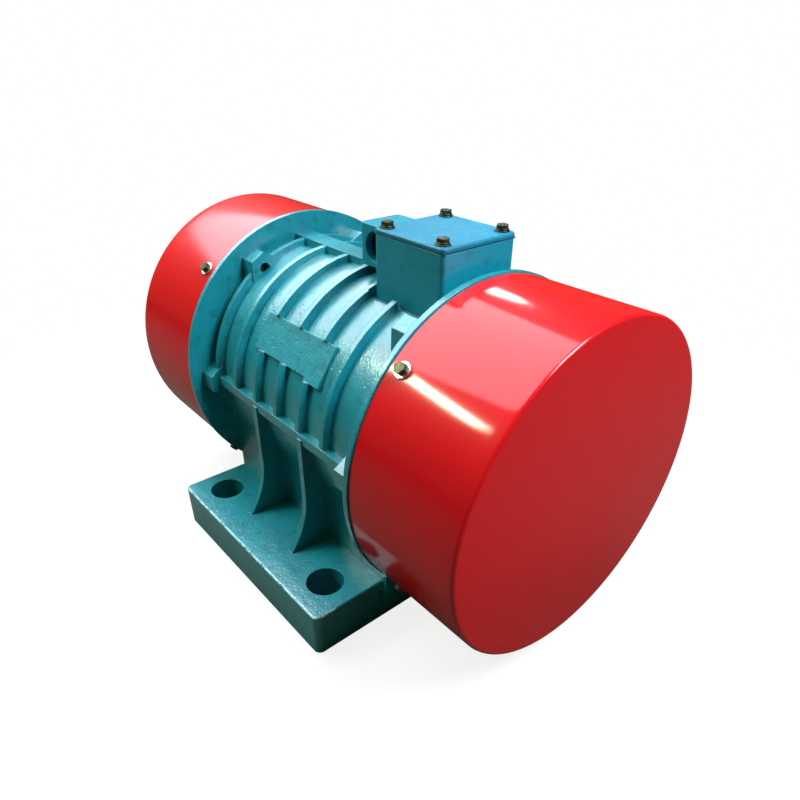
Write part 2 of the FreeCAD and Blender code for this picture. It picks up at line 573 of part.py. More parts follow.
def bearing(side, left):
    """Cylindrical roller bearing: flanged outer ring, plain inner ring, and caged rollers."""
    outer = new_piece(f"bearing_outer_ring_{side}", left)
    half = "(dims.roller_length / 2 + dims.roller_gap)"
    land = f"({RACE_OUT} - dims.flange_land)"
    section = new_sketch(outer, "XZ_Plane")
    draw_loop(section, [
        (BEARING_IN, land), (f"{BEARING_MIDDLE} - {half}", land),
        (f"{BEARING_MIDDLE} - {half}", RACE_OUT), (f"{BEARING_MIDDLE} + {half}", RACE_OUT),
        (f"{BEARING_MIDDLE} + {half}", land), (BEARING_OUT, land),
        (BEARING_OUT, "dims.bearing_radius - dims.seat_gap"),
        (BEARING_IN, "dims.bearing_radius - dims.seat_gap")])
    turn_about(outer, section)

    inner = new_piece(f"bearing_inner_ring_{side}", left)
    shaft_ring(inner, BEARING_IN, BEARING_OUT, "dims.shaft_radius + dims.seat_gap", RACE_IN)

    rollers = new_piece(f"bearing_rollers_{side}", left)
    roller = new_sketch(rollers, "YZ_Plane", f"{BEARING_MIDDLE} - dims.roller_length / 2")
    draw_circle(roller, "0", "dims.roller_circle", "dims.roller_radius")
    repeat_round(rollers, [grow(rollers, roller, "dims.roller_length")], "dims.roller_count")

    cage = new_piece(f"bearing_cage_{side}", left)
    cage_half = "(dims.roller_length / 2 + dims.cage_wall)"
    shaft_ring(cage, f"{BEARING_MIDDLE} - {cage_half}", f"{BEARING_MIDDLE} + {cage_half}",
               f"{RACE_IN} + dims.cage_wall", f"{land} - dims.cage_gap")
    pocket = new_sketch(cage, "YZ_Plane", f"{BEARING_MIDDLE} - {half}")
    draw_circle(pocket, "0", "dims.roller_circle", "dims.roller_radius + dims.pocket_gap")
    repeat_round(cage, [sink(cage, pocket, f"2 * {half}", backwards=True)], "dims.roller_count")


def bearing_caps(side, left):
    """Inner and outer cap that hold the bearing, the shaft seal, and the spacer it runs on."""
    inner = new_piece(f"inner_bearing_cap_{side}", left)
    shaft_ring(inner, INNER_CAP_FACE, BEARING_IN, "dims.shoulder_radius + dims.slip_gap",
               "dims.cap_radius")
    taps = new_sketch(inner, "YZ_Plane", INNER_CAP_FACE)
    draw_circle(taps, "0", "dims.cap_screw_circle", "dims.cap_screw_radius + dims.seat_gap")
    repeat_round(inner, [sink(inner, taps, "dims.inner_cap", backwards=True)], "dims.cap_screw_count")

    outer = new_piece(f"outer_bearing_cap_{side}", left)
    shaft_ring(outer, BEARING_OUT, CAP_OUT, "dims.seal_radius", "dims.cap_radius")
    holes = new_sketch(outer, "YZ_Plane", BEARING_OUT)
    draw_circle(holes, "0", "dims.cap_screw_circle", "dims.cap_screw_radius + dims.seat_gap")
    sinks = new_sketch(outer, "YZ_Plane", f"{CAP_OUT} - dims.cap_screw_depth")
    draw_circle(sinks, "0", "dims.cap_screw_circle", "dims.cap_screw_head + dims.slip_gap")
    cuts = [sink(outer, holes, "dims.outer_cap", backwards=True),
            sink(outer, sinks, "dims.cap_screw_depth", backwards=True)]
    repeat_round(outer, cuts, "dims.cap_screw_count")

    seal = new_piece(f"shaft_seal_{side}", left)
    shaft_ring(seal, f"{BEARING_OUT} + dims.slip_gap", CAP_OUT,
               "dims.spacer_radius + dims.seal_gap", "dims.seal_radius - dims.seat_gap")

    spacer = new_piece(f"spacer_ring_{side}", left)
    shaft_ring(spacer, BEARING_OUT, SPACER_OUT, "dims.shaft_radius + dims.seat_gap",
               "dims.spacer_radius")


def end_shield_bolts():
    """Hexagon bolts through both end shields into the frame's lugs."""
    body = new_piece("end_shield_bolts")
    shank = new_sketch(body, "YZ_Plane", f"{SHIELD_FACE} - dims.bolt_length", turn="dims.lug_angle")
    draw_circle(shank, "0", BOLT_CIRCLE, "dims.bolt_radius")
    head = new_sketch(body, "YZ_Plane", SHIELD_FACE, turn="dims.lug_angle")
    draw_hexagon(head, "0", BOLT_CIRCLE, "dims.bolt_head")
    parts = [grow(body, shank, "dims.bolt_length"), grow(body, head, "dims.bolt_head_height")]
    repeat_round(body, parts, "dims.lug_count")
    repeat_at_left(body)


def bearing_cap_screws():
    """Long socket screws through outer cap and hub into the inner cap, at both ends."""
    body = new_piece("bearing_cap_screws")
    head_seat = f"({CAP_OUT} - dims.cap_screw_depth)"
    shank = new_sketch(body, "YZ_Plane", INNER_CAP_FACE)
    draw_circle(shank, "0", "dims.cap_screw_circle", "dims.cap_screw_radius")
    head = new_sketch(body, "YZ_Plane", head_seat)
    draw_circle(head, "0", "dims.cap_screw_circle", "dims.cap_screw_head")
    parts = [grow(body, shank, f"{head_seat} - {INNER_CAP_FACE}"),
             grow(body, head, "dims.cap_screw_depth - dims.slip_gap")]
    repeat_round(body, parts, "dims.cap_screw_count")
    repeat_at_left(body)


# ------------------------------------------------------------------------ end covers

def end_cover(side, left):
    """Sheet drum over the weights, its closed end rolled to a small radius."""
    body = new_piece(f"end_cover_{side}", left)
    inner_round = "(dims.cover_round - dims.cover_sheet)"
    section = new_sketch(body, "XZ_Plane")
    draw_loop(section, [
        (COVER_FLOOR, "0"), (COVER_END, "0"), (COVER_END, f"{COVER_RADIUS} - dims.cover_round"),
        (f"{COVER_END} - dims.cover_round", COVER_RADIUS, "dims.cover_round"),
        (COVER_MOUTH, COVER_RADIUS), (COVER_MOUTH, COVER_INSIDE),
        (f"{COVER_FLOOR} - {inner_round}", COVER_INSIDE),
        (COVER_FLOOR, f"{COVER_INSIDE} - {inner_round}", f"-{inner_round}")])
    turn_about(body, section)
    holes = new_sketch(body, "XY_Plane", COVER_RADIUS, lean=COVER_BOLT_ANGLE)
    draw_circle(holes, COVER_BOLT, "0", "dims.cover_bolt_radius + dims.rim_gap")
    repeat_round(body, [sink(body, holes, "dims.cover_sheet + dims.rim_gap")], "dims.cover_bolt_count")


def cover_bolts():
    """Radial hexagon bolts that hold both covers on the end shields' rims."""
    body = new_piece("cover_bolts")
    shank = new_sketch(body, "XY_Plane", COVER_BOLT_TIP, lean=COVER_BOLT_ANGLE)
    draw_circle(shank, COVER_BOLT, "0", "dims.cover_bolt_radius")
    head = new_sketch(body, "XY_Plane", f"{COVER_RADIUS} + dims.washer_thickness",
                      lean=COVER_BOLT_ANGLE)
    draw_hexagon(head, COVER_BOLT, "0", "dims.cover_bolt_head")
    parts = [grow(body, shank, "dims.cover_bolt_length"), grow(body, head, "dims.cover_bolt_height")]
    repeat_round(body, parts, "dims.cover_bolt_count")
    repeat_at_left(body)


def cover_washers():
    """Flat washers under the heads of the cover bolts."""
    body = new_piece("cover_washers")
    ring = new_sketch(body, "XY_Plane", COVER_RADIUS, lean=COVER_BOLT_ANGLE)
    draw_circle(ring, COVER_BOLT, "0", "dims.washer_radius")
    draw_circle(ring, COVER_BOLT, "0", "dims.cover_bolt_radius + dims.seat_gap")
    repeat_round(body, [grow(body, ring, "dims.washer_thickness")], "dims.cover_bolt_count")
    repeat_at_left(body)


def cover_ring(side, left):
    """Rubber ring in the rim's groove, which keeps dust out under the cover's mouth."""
    body = new_piece(f"cover_ring_{side}", left)
    gap = "dims.cover_ring_gap"
    shaft_ring(body, f"{COVER_RING_IN} + {gap}", f"{COVER_RING_IN} + dims.cover_ring_width - {gap}",
               f"{COVER_INSIDE} - dims.cover_ring_depth + {gap}", f"{COVER_INSIDE} - {gap}")


# ------------------------------------------------------------------- stator, rotor and shaft

def slot_outline(body, start, clearance):
    """One stator slot at the top, wider towards its floor, narrowed by a clearance all round."""
    inner = f"(dims.stator_bore + dims.slot_start + {clearance})"
    outer = f"(dims.stator_bore + dims.slot_start + dims.slot_depth - {clearance})"
    mouth = f"(dims.slot_mouth / 2 - {clearance})"
    floor = f"(dims.slot_base / 2 - {clearance})"
    sketch = new_sketch(body, "YZ_Plane", start)
    draw_loop(sketch, [(f"-{mouth}", inner), (mouth, inner), (floor, outer), (f"-{floor}", outer)])
    return sketch


def stator():
    """Laminated stator core with slots, and the winding that fills them and turns over its ends."""
    core = new_piece("stator_core")
    shaft_ring(core, f"-{CORE_END}", CORE_END, "dims.stator_bore",
               "dims.stator_radius - dims.seat_gap")
    slot = slot_outline(core, f"-{CORE_END}", "0")
    repeat_round(core, [sink(core, slot, "dims.core_length", backwards=True)], "dims.slot_count")

    winding = new_piece("stator_winding")
    bar_end = f"({CORE_END} + dims.slot_start)"
    bar = slot_outline(winding, f"-{bar_end}", "dims.air_gap")
    repeat_round(winding, [grow(winding, bar, f"2 * {bar_end}")], "dims.slot_count")
    for sign in ("", "-"):
        head = new_sketch(winding, "XZ_Plane")
        start = f"{sign}({CORE_END} + dims.air_gap)"
        far = f"{sign}({CORE_END} + dims.turn_length)"
        shoulder = f"{sign}({CORE_END} + dims.turn_length - dims.turn_bevel)"
        draw_loop(head, [
            (start, "dims.turn_inner"), (shoulder, "dims.turn_inner"),
            (far, "dims.turn_inner + dims.turn_bevel"), (far, f"{TURN_OUTER} - dims.turn_bevel"),
            (shoulder, TURN_OUTER), (start, TURN_OUTER)])
        turn_about(winding, head)


def rotor():
    """Laminated rotor core, the cast cage in its slots, the shaft, and the key between them."""
    bar_top = f"({ROTOR_RADIUS} - dims.bar_cover)"
    core = new_piece("rotor_core")
    shaft_ring(core, f"-{CORE_END}", CORE_END, "dims.core_seat_radius + dims.seat_gap",
               ROTOR_RADIUS)
    slot = new_sketch(core, "YZ_Plane", f"-{CORE_END}")
    draw_box(slot, "-dims.bar_thickness / 2", "dims.bar_thickness / 2",
             f"{bar_top} - dims.bar_depth", bar_top)
    repeat_round(core, [sink(core, slot, "dims.core_length", backwards=True)], "dims.rotor_bars")
    cut_keyway(core, f"-{CORE_END}", "dims.core_length", "dims.core_seat_radius")

    cage = new_piece("rotor_cage")
    bar = new_sketch(cage, "YZ_Plane", f"-{CORE_END}")
    gap = "dims.seat_gap"
    draw_box(bar, f"-dims.bar_thickness / 2 + {gap}", f"dims.bar_thickness / 2 - {gap}",
             f"{bar_top} - dims.bar_depth + {gap}", f"{bar_top} - {gap}")
    repeat_round(cage, [grow(cage, bar, "dims.core_length")], "dims.rotor_bars")
    ring_low = f"({bar_top} - dims.end_ring_wall)"
    for start in (f"-{CORE_END} - dims.end_ring", CORE_END):
        shaft_ring(cage, start, f"{start} + dims.end_ring", ring_low, bar_top)


def cut_keyway(body, start, length, radius):
    """Keyway under the shaft, above and below its surface, for a key that lies along it."""
    sketch = new_sketch(body, "YZ_Plane", start)
    draw_box(sketch, "-dims.key_width / 2", "dims.key_width / 2",
             f"-{radius} - dims.key_height + dims.key_sink", f"-{radius} + dims.key_sink")
    sink(body, sketch, length, backwards=True)


def shaft():
    """Stepped shaft with keyways for the rotor and the fixed weights, and grooves for its rings."""
    body = new_piece("shaft")
    section = new_sketch(body, "XZ_Plane")
    groove = "(dims.shaft_radius - dims.ring_sink)"
    right = [
        (CORE_SEAT_END, "dims.core_seat_radius"), (CORE_SEAT_END, "dims.shoulder_radius"),
        (BEARING_IN, "dims.shoulder_radius"), (BEARING_IN, "dims.shaft_radius"),
        (RING_IN, "dims.shaft_radius"), (RING_IN, groove), (RING_OUT, groove),
        (RING_OUT, "dims.shaft_radius"),
        (f"({SHAFT_END} - dims.shaft_chamfer)", "dims.shaft_radius"),
        (SHAFT_END, "dims.shaft_radius - dims.shaft_chamfer"), (SHAFT_END, "0")]
    left = [(f"-{x}", radius) for x, radius in reversed(right)]
    draw_loop(section, left + right)
    turn_about(body, section)
    cut_keyway(body, f"-{CORE_END}", "dims.core_length", "dims.core_seat_radius")
    for start in (SPACER_OUT, f"-{FIXED_OUT}"):
        cut_keyway(body, start, "dims.fixed_thickness", "dims.shaft_radius")


def key(name, start, length, radius, both_ends=False):
    """Parallel key half sunk in the shaft, or one at each end."""
    body = new_piece(name)
    sketch = new_sketch(body, "YZ_Plane", f"{start} + dims.key_gap")
    draw_box(sketch, "-dims.key_width / 2 + dims.key_gap", "dims.key_width / 2 - dims.key_gap",
             f"-{radius} - dims.key_height + dims.key_sink + dims.key_gap",
             f"-{radius} + dims.key_sink - dims.key_gap")
    grow(body, sketch, f"{length} - 2 * dims.key_gap")
    if both_ends:
        repeat_at_left(body)


def shaft_end_rings():
    """Open retaining rings in the grooves at the shaft's ends."""
    body = new_piece("shaft_end_rings")
    gap = "dims.seat_gap"
    shaft_ring(body, f"{RING_IN} + {gap}", f"{RING_OUT} - {gap}",
               f"dims.shaft_radius - dims.ring_sink + {gap}", "dims.shaft_radius + dims.ring_wall")
    opening = new_sketch(body, "YZ_Plane", RING_IN)
    draw_box(opening, "-dims.ring_opening / 2", "dims.ring_opening / 2",
             "0", "dims.shaft_radius + dims.ring_wall")
    sink(body, opening, "dims.ring_thickness", backwards=True)
    repeat_at_left(body)


# ------------------------------------------------------------------------ eccentric weights

def eccentric_weight(name, left, start, thickness, keyed):
    """Sector of heavy plate on a split hub; a bolt through two ears clamps it on the shaft."""
    body = new_piece(name, left)
    reach_y = f"({WEIGHT_RADIUS} * sin(dims.weight_half_angle))"
    reach_z = f"({WEIGHT_RADIUS} * cos(dims.weight_half_angle))"
    sector = new_sketch(body, "YZ_Plane", start)
    draw_loop(sector, [
        ("-dims.hub_radius", "0"), (f"-{reach_y}", f"-{reach_z}"),
        (reach_y, f"-{reach_z}", WEIGHT_RADIUS), ("dims.hub_radius", "0")])
    grow(body, sector, thickness)
    hub = new_sketch(body, "YZ_Plane", start)
    draw_circle(hub, "0", "0", "dims.hub_radius")
    grow(body, hub, thickness)
    ears = new_sketch(body, "YZ_Plane", start)
    draw_box(ears, "-dims.ear_half", "dims.ear_half", "0", "dims.ear_top")
    grow(body, ears, thickness)
    bore = new_sketch(body, "YZ_Plane", start)
    draw_circle(bore, "0", "0", "dims.shaft_radius + dims.weight_bore_gap")
    sink(body, bore, thickness, backwards=True)
    slit = new_sketch(body, "YZ_Plane", start)
    draw_box(slit, "-dims.slit_width / 2", "dims.slit_width / 2", "0", "dims.ear_top")
    sink(body, slit, thickness, backwards=True)
    hole = new_sketch(body, "XZ_Plane", "-dims.ear_half")
    draw_circle(hole, f"{start} + {thickness} / 2", "dims.clamp_height",
                "dims.clamp_radius + dims.key_gap")
    sink(body, hole, "2 * dims.ear_half", backwards=True)
    if keyed:
        cut_keyway(body, start, thickness, "dims.shaft_radius")


def clamp_bolt(name, left, start, thickness, both_ends=False):
    """Hexagon bolt across the ears of a weight, or of the weights at both ends."""
    body = new_piece(name, left)
    middle = f"{start} + {thickness} / 2"
    shank = new_sketch(body, "XZ_Plane", "-dims.ear_half - dims.clamp_nut_height")
    draw_circle(shank, middle, "dims.clamp_height", "dims.clamp_radius")
    grow(body, shank, "2 * dims.ear_half + dims.clamp_nut_height")
    head = new_sketch(body, "XZ_Plane", "dims.ear_half")
    draw_hexagon(head, middle, "dims.clamp_height", "dims.clamp_head")
    grow(body, head, "dims.clamp_head_height")
    if both_ends:
        repeat_at_left(body)


def clamp_nut(name, left, start, thickness, both_ends=False):
    """Nut of a weight's clamp bolt, or of the bolts at both ends."""
    body = new_piece(name, left)
    middle = f"{start} + {thickness} / 2"
    outline = new_sketch(body, "XZ_Plane", "-dims.ear_half - dims.clamp_nut_height")
    draw_hexagon(outline, middle, "dims.clamp_height", "dims.clamp_head")
    draw_circle(outline, middle, "dims.clamp_height", "dims.clamp_radius + dims.seat_gap")
    grow(body, outline, "dims.clamp_nut_height")
    if both_ends:
        repeat_at_left(body)


# --------------------------------------------------------------------------- terminal box

def corner_places(middle_x, spacing_x, spacing_y):
    """Centres of four holes at the corners of a rectangle about the box's middle."""
    return [(f"{middle_x} {sx} {spacing_x} / 2", f"{sy} {spacing_y} / 2")
            for sx in "+-" for sy in "+-"]


def box_screw_places():
    """Where the four screws hold the terminal box down on the plinth."""
    return corner_places(BOX_MIDDLE, "dims.box_screw_spacing_x", "dims.box_screw_spacing_y")


def lid_screw_places():
    """Where the four screws hold the lid down on the box's pillars."""
    return corner_places(BOX_MIDDLE, "dims.lid_screw_spacing", "dims.lid_screw_spacing")


def terminal_places():
    """Centres of the two rows of terminals on the block."""
    middle = "(dims.terminal_count - 1) / 2"
    return [(f"{BOX_MIDDLE} + ({step} - {middle}) * dims.terminal_pitch",
             f"dims.block_place {row} dims.terminal_row")
            for step in range(int(size("dims.terminal_count"))) for row in "+-"]


def box_footprint(sketch, grow_by="0"):
    """Outline of the box in plan, widened all round."""
    draw_box(sketch, f"dims.box_left - {grow_by}", f"dims.box_right + {grow_by}",
             f"-dims.box_half - {grow_by}", f"dims.box_half + {grow_by}")


def round_box_corners(body, radius):
    """Fillet the outer upright corners of a box-shaped piece."""
    reach = max(abs(vertex.Y) for vertex in body.Tip.Shape.Vertexes)
    dress_edges(body, lambda edge: is_upright(edge)
                and abs(abs(edge.Vertexes[0].Y) - reach) < SAME_PLACE, radius)


def terminal_box():
    """Cast box: floor, walls, lid-screw pillars, and the boss that the cable enters by."""
    body = new_piece("terminal_box")
    outline = new_sketch(body, "XY_Plane", BOX_BOTTOM)
    box_footprint(outline)
    grow(body, outline, "dims.box_height")
    round_box_corners(body, "dims.box_corner")
    boss = new_sketch(body, "XY_Plane", ENTRY_BOTTOM)
    draw_box(boss, "-dims.entry_left", "dims.box_left + dims.box_wall",
             "-dims.entry_half", "dims.entry_half")
    grow(body, boss, "dims.entry_height")
    outer = size("-dims.entry_left")
    dress_edges(body, lambda edge: is_upright(edge)
                and abs(edge.Vertexes[0].X - outer) < SAME_PLACE, "dims.box_corner")
    chamber = new_sketch(body, "XY_Plane", BOX_TOP)
    box_footprint(chamber, "(-dims.box_wall)")
    sink(body, chamber, "dims.box_height - dims.box_floor")
    pillars = new_sketch(body, "XY_Plane", BOX_BOTTOM)
    for x, y in lid_screw_places():
        draw_circle(pillars, x, y, "dims.pillar_radius")
    grow(body, pillars, "dims.box_height")
    taps = new_sketch(body, "XY_Plane", BOX_TOP)
    for x, y in lid_screw_places():
        draw_circle(taps, x, y, "dims.lid_screw_radius + dims.seat_gap")
    sink(body, taps, "dims.lid_screw_length")

    floor_holes = new_sketch(body, "XY_Plane", BOX_FLOOR_TOP)
    draw_circle(floor_holes, BOX_MIDDLE, "-dims.wire_hole_back", "dims.wire_hole_radius")
    for x, y in box_screw_places():
        draw_circle(floor_holes, x, y, "dims.box_screw_radius + dims.slip_gap")
    sink(body, floor_holes, "dims.box_floor")
    earth = new_sketch(body, "XY_Plane", BOX_FLOOR_TOP)
    draw_circle(earth, *EARTH_PLACE, "dims.box_screw_radius + dims.seat_gap")
    sink(body, earth, EARTH_BITE)

    mouth = new_sketch(body, "XZ_Plane", "dims.entry_half")
    draw_circle(mouth, ENTRY_X, ENTRY_Z, "dims.entry_radius")
    sink(body, mouth, "dims.entry_depth")
    throat = new_sketch(body, "XZ_Plane", "dims.entry_half - dims.entry_depth")
    draw_circle(throat, ENTRY_X, ENTRY_Z, "dims.entry_throat")
    sink(body, throat, "dims.entry_half - dims.entry_depth")
    duct = new_sketch(body, "YZ_Plane", ENTRY_X)
    draw_circle(duct, "0", ENTRY_Z, "dims.entry_throat")
    sink(body, duct, f"dims.box_left + dims.box_wall - {ENTRY_X}", backwards=True)


def gaskets():
    """Flat gaskets between plinth and box and between box and lid."""
    lower = new_piece("box_gasket")
    outline = new_sketch(lower, "XY_Plane", PLINTH_TOP)
    box_footprint(outline)
    draw_circle(outline, BOX_MIDDLE, "-dims.wire_hole_back", "dims.wire_hole_radius")
    for x, y in box_screw_places():
        draw_circle(outline, x, y, "dims.box_screw_radius + dims.slip_gap")
    grow(lower, outline, "dims.gasket_thickness")

    upper = new_piece("lid_gasket")
    outline = new_sketch(upper, "XY_Plane", BOX_TOP)
    box_footprint(outline)
    grow(upper, outline, "dims.gasket_thickness")
    chamber = new_sketch(upper, "XY_Plane", BOX_TOP)
    half = "(dims.lid_screw_spacing / 2 - dims.pillar_radius)"
    draw_box(chamber, f"{BOX_MIDDLE} - {half}", f"{BOX_MIDDLE} + {half}",
             "-dims.box_half + dims.box_wall", "dims.box_half - dims.box_wall")
    sink(upper, chamber, "dims.gasket_thickness", backwards=True)
    holes = new_sketch(upper, "XY_Plane", BOX_TOP)
    for x, y in lid_screw_places():
        draw_circle(holes, x, y, "dims.lid_screw_radius + dims.slip_gap")
    sink(upper, holes, "dims.gasket_thickness", backwards=True)


def terminal_lid():
    """Flat lid with rounded corners and a chamfered upper edge."""
    body = new_piece("terminal_lid")
    outline = new_sketch(body, "XY_Plane", LID_BOTTOM)
    box_footprint(outline, "dims.lid_overhang")
    grow(body, outline, "dims.lid_thickness")
    round_box_corners(body, "dims.box_corner + dims.lid_overhang")
    top = size(LID_TOP)
    dress_edges(body, lambda edge: lies_at(edge, top), "dims.lid_chamfer", kind="Chamfer")
    holes = new_sketch(body, "XY_Plane", LID_TOP)
    for x, y in lid_screw_places():
        draw_circle(holes, x, y, "dims.lid_screw_radius + dims.slip_gap")
    sink(body, holes, "dims.lid_thickness")


def upright_screws(name, places, seat, length, shank_radius, head_radius, head_height):
    """Hexagon screws that stand upright with their heads on one level."""
    body = new_piece(name)
    shanks = new_sketch(body, "XY_Plane", seat)
    for x, y in places:
        draw_circle(shanks, x, y, shank_radius)
    grow(body, shanks, length, backwards=True)
    heads = new_sketch(body, "XY_Plane", seat)
    for x, y in places:
        draw_hexagon(heads, x, y, head_radius)
    grow(body, heads, head_height)


def upright_washers(name, places, seat, outer, inner, thickness):
    """Flat rings lying on one level."""
    body = new_piece(name)
    rings = new_sketch(body, "XY_Plane", seat)
    for x, y in places:
        draw_circle(rings, x, y, outer)
        draw_circle(rings, x, y, inner)
    grow(body, rings, thickness)


def terminal_fixings():
    """Screws and washers of the lid, of the box and of the earth terminal."""
    spring_seat = f"({LID_TOP} + dims.lid_washer_thickness)"
    head_seat = f"({spring_seat} + dims.spring_washer_thickness)"
    bore = "dims.lid_screw_radius + dims.seat_gap"
    upright_screws("lid_screws", lid_screw_places(), head_seat, "dims.lid_screw_length",
                   "dims.lid_screw_radius", "dims.lid_screw_head", "dims.lid_screw_height")
    upright_washers("lid_washers", lid_screw_places(), LID_TOP, "dims.lid_washer_radius", bore,
                    "dims.lid_washer_thickness")
    upright_washers("lid_spring_washers", lid_screw_places(), spring_seat,
                    "dims.spring_washer_radius", bore, "dims.spring_washer_thickness")
    upright_screws("box_screws", box_screw_places(), BOX_FLOOR_TOP, "dims.box_screw_length",
                   "dims.box_screw_radius", "dims.box_screw_head", "dims.box_screw_height")
    upright_screws("earth_screw", [EARTH_PLACE], BOX_FLOOR_TOP, f"{EARTH_BITE} - dims.seat_gap",
                   "dims.box_screw_radius", "dims.box_screw_head", "dims.box_screw_height")


def terminals():
    """Moulded terminal block with its studs and nuts."""
    block = new_piece("terminal_block")
    outline = new_sketch(block, "XY_Plane", BOX_FLOOR_TOP)
    draw_box(outline, f"{BOX_MIDDLE} - dims.block_length / 2", f"{BOX_MIDDLE} + dims.block_length / 2",
             "dims.block_place - dims.block_width / 2", "dims.block_place + dims.block_width / 2")
    grow(block, outline, "dims.block_height")
    sockets = new_sketch(block, "XY_Plane", BLOCK_TOP)
    for x, y in terminal_places():
        draw_circle(sockets, x, y, "dims.terminal_radius + dims.seat_gap")
    sink(block, sockets, "dims.terminal_sink")

    studs = new_piece("terminal_studs")
    foot = new_sketch(studs, "XY_Plane", f"{BLOCK_TOP} - dims.terminal_sink")
    for x, y in terminal_places():
        draw_circle(foot, x, y, "dims.terminal_radius")
    grow(studs, foot, "dims.terminal_sink + dims.terminal_rise")

    nuts = new_piece("terminal_nuts")
    outline = new_sketch(nuts, "XY_Plane", BLOCK_TOP)
    for x, y in terminal_places():
        draw_hexagon(outline, x, y, "dims.nut_size")
        draw_circle(outline, x, y, "dims.terminal_radius + dims.seat_gap")
    grow(nuts, outline, "dims.nut_height")


def cable_entry():
    """Screwed bush in the boss, and the rubber grommet that grips the cable in it."""
    bush = new_piece("entry_bush")
    depth = "dims.entry_depth - dims.bush_recess"
    outline = new_sketch(bush, "XZ_Plane", "dims.entry_half - dims.entry_depth")
    draw_circle(outline, ENTRY_X, ENTRY_Z, "dims.entry_radius - dims.seat_gap")
    draw_circle(outline, ENTRY_X, ENTRY_Z, "dims.bush_bore")
    grow(bush, outline, depth)
    grommet = new_piece("entry_grommet")
    outline = new_sketch(grommet, "XZ_Plane", "dims.entry_half - dims.entry_depth")
    draw_circle(outline, ENTRY_X, ENTRY_Z, "dims.bush_bore - dims.seat_gap")
    draw_circle(outline, ENTRY_X, ENTRY_Z, "dims.grommet_bore")
    grow(grommet, outline, f"{depth} - dims.slip_gap")


# ---------------------------------------------------------------- the whole motor, and its files

frame_casting()
stator()
rotor()
shaft()
for end, is_left in (("right", False), ("left", True)):
    end_shield(end, is_left)
    bearing(end, is_left)
    bearing_caps(end, is_left)
    end_cover(end, is_left)
    cover_ring(end, is_left)
    eccentric_weight(f"fixed_weight_{end}", is_left, SPACER_OUT, "dims.fixed_thickness", keyed=True)
    eccentric_weight(f"adjustable_weight_{end}", is_left, LOOSE_IN, "dims.loose_thickness",
                     keyed=False)
    clamp_bolt(f"adjustable_clamp_bolt_{end}", is_left, LOOSE_IN, "dims.loose_thickness")
    clamp_nut(f"adjustable_clamp_nut_{end}", is_left, LOOSE_IN, "dims.loose_thickness")
end_shield_bolts()
bearing_cap_screws()
cover_bolts()
cover_washers()
clamp_bolt("fixed_clamp_bolts", False, SPACER_OUT, "dims.fixed_thickness", both_ends=True)
clamp_nut("fixed_clamp_nuts", False, SPACER_OUT, "dims.fixed_thickness", both_ends=True)
key("rotor_key", f"-{CORE_END}", "dims.core_length", "dims.core_seat_radius")
key("weight_keys", SPACER_OUT, "dims.fixed_thickness", "dims.shaft_radius", both_ends=True)
shaft_end_rings()
terminal_box()
gaskets()
terminal_lid()
terminal_fixings()
terminals()
cable_entry()

doc.recompute()
for item in doc.Objects:
    if "Invalid" in item.State or "Error" in item.State:
        raise RuntimeError(f"{item.Label} failed: {item.State}")
for piece in pieces:
    if piece.Shape.isNull() or not piece.Shape.isValid() or not piece.Shape.Solids:
        raise RuntimeError(f"{piece.Label} has no sound shape")

os.makedirs("parts", exist_ok=True)
for piece in pieces:
    piece.Shape.exportStep(f"parts/{piece.Label}.step")
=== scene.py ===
import json
import logging
import math
from dataclasses import dataclass, field
from enum import Enum
from typing import Sequence

import bmesh
import bpy
import numpy as np
from mathutils import Matrix, Vector

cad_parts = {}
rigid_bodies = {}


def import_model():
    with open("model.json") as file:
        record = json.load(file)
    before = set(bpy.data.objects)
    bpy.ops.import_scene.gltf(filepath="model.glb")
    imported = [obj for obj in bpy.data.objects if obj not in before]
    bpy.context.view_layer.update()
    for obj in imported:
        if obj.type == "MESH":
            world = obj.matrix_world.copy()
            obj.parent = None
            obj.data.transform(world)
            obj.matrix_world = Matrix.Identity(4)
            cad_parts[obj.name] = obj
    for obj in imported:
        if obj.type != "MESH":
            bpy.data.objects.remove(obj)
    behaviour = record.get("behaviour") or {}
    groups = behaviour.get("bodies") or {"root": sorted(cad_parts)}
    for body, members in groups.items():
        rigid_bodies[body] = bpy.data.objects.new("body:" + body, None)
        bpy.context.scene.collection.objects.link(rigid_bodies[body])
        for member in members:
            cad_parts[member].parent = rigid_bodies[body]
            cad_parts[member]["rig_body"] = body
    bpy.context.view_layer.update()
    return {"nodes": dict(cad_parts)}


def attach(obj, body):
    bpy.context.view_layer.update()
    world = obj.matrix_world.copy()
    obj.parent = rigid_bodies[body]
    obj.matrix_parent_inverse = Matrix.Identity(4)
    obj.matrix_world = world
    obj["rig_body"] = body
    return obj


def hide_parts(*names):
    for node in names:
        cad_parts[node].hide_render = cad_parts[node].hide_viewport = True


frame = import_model()

log = logging.getLogger("vibration_motor")
MM = 0.001
WHITE = (1.0, 1.0, 1.0, 1.0)
FRAME_BODY = "frame"
# The wave texture draws one line in each pi / 10 of its scaled coordinate.
WAVE_PERIOD = math.pi / 10.0
Socket = bpy.types.NodeSocket
Value = float | tuple[float, ...] | Socket
Band = tuple[float, float]


# ---------------------------------------------------------------- small tools for materials


def linear(colour: str) -> tuple[float, float, float, float]:
    """Turn an sRGB hex colour into the linear values that shaders work with.

    Args:
        colour: A colour such as "#2a7f94".

    Returns:
        Red, green, blue and full opacity, each linear.
    """
    parts = np.array([int(colour[i:i + 2], 16) for i in (1, 3, 5)]) / 255.0
    low = parts <= 0.04045
    curve = np.where(low, parts / 12.92, ((parts + 0.055) / 1.055) ** 2.4)
    return (float(curve[0]), float(curve[1]), float(curve[2]), 1.0)


def per_metre(size_mm: float) -> float:
    """The texture scale whose features are size_mm across, on coordinates in metres."""
    return 1.0 / (size_mm * MM)


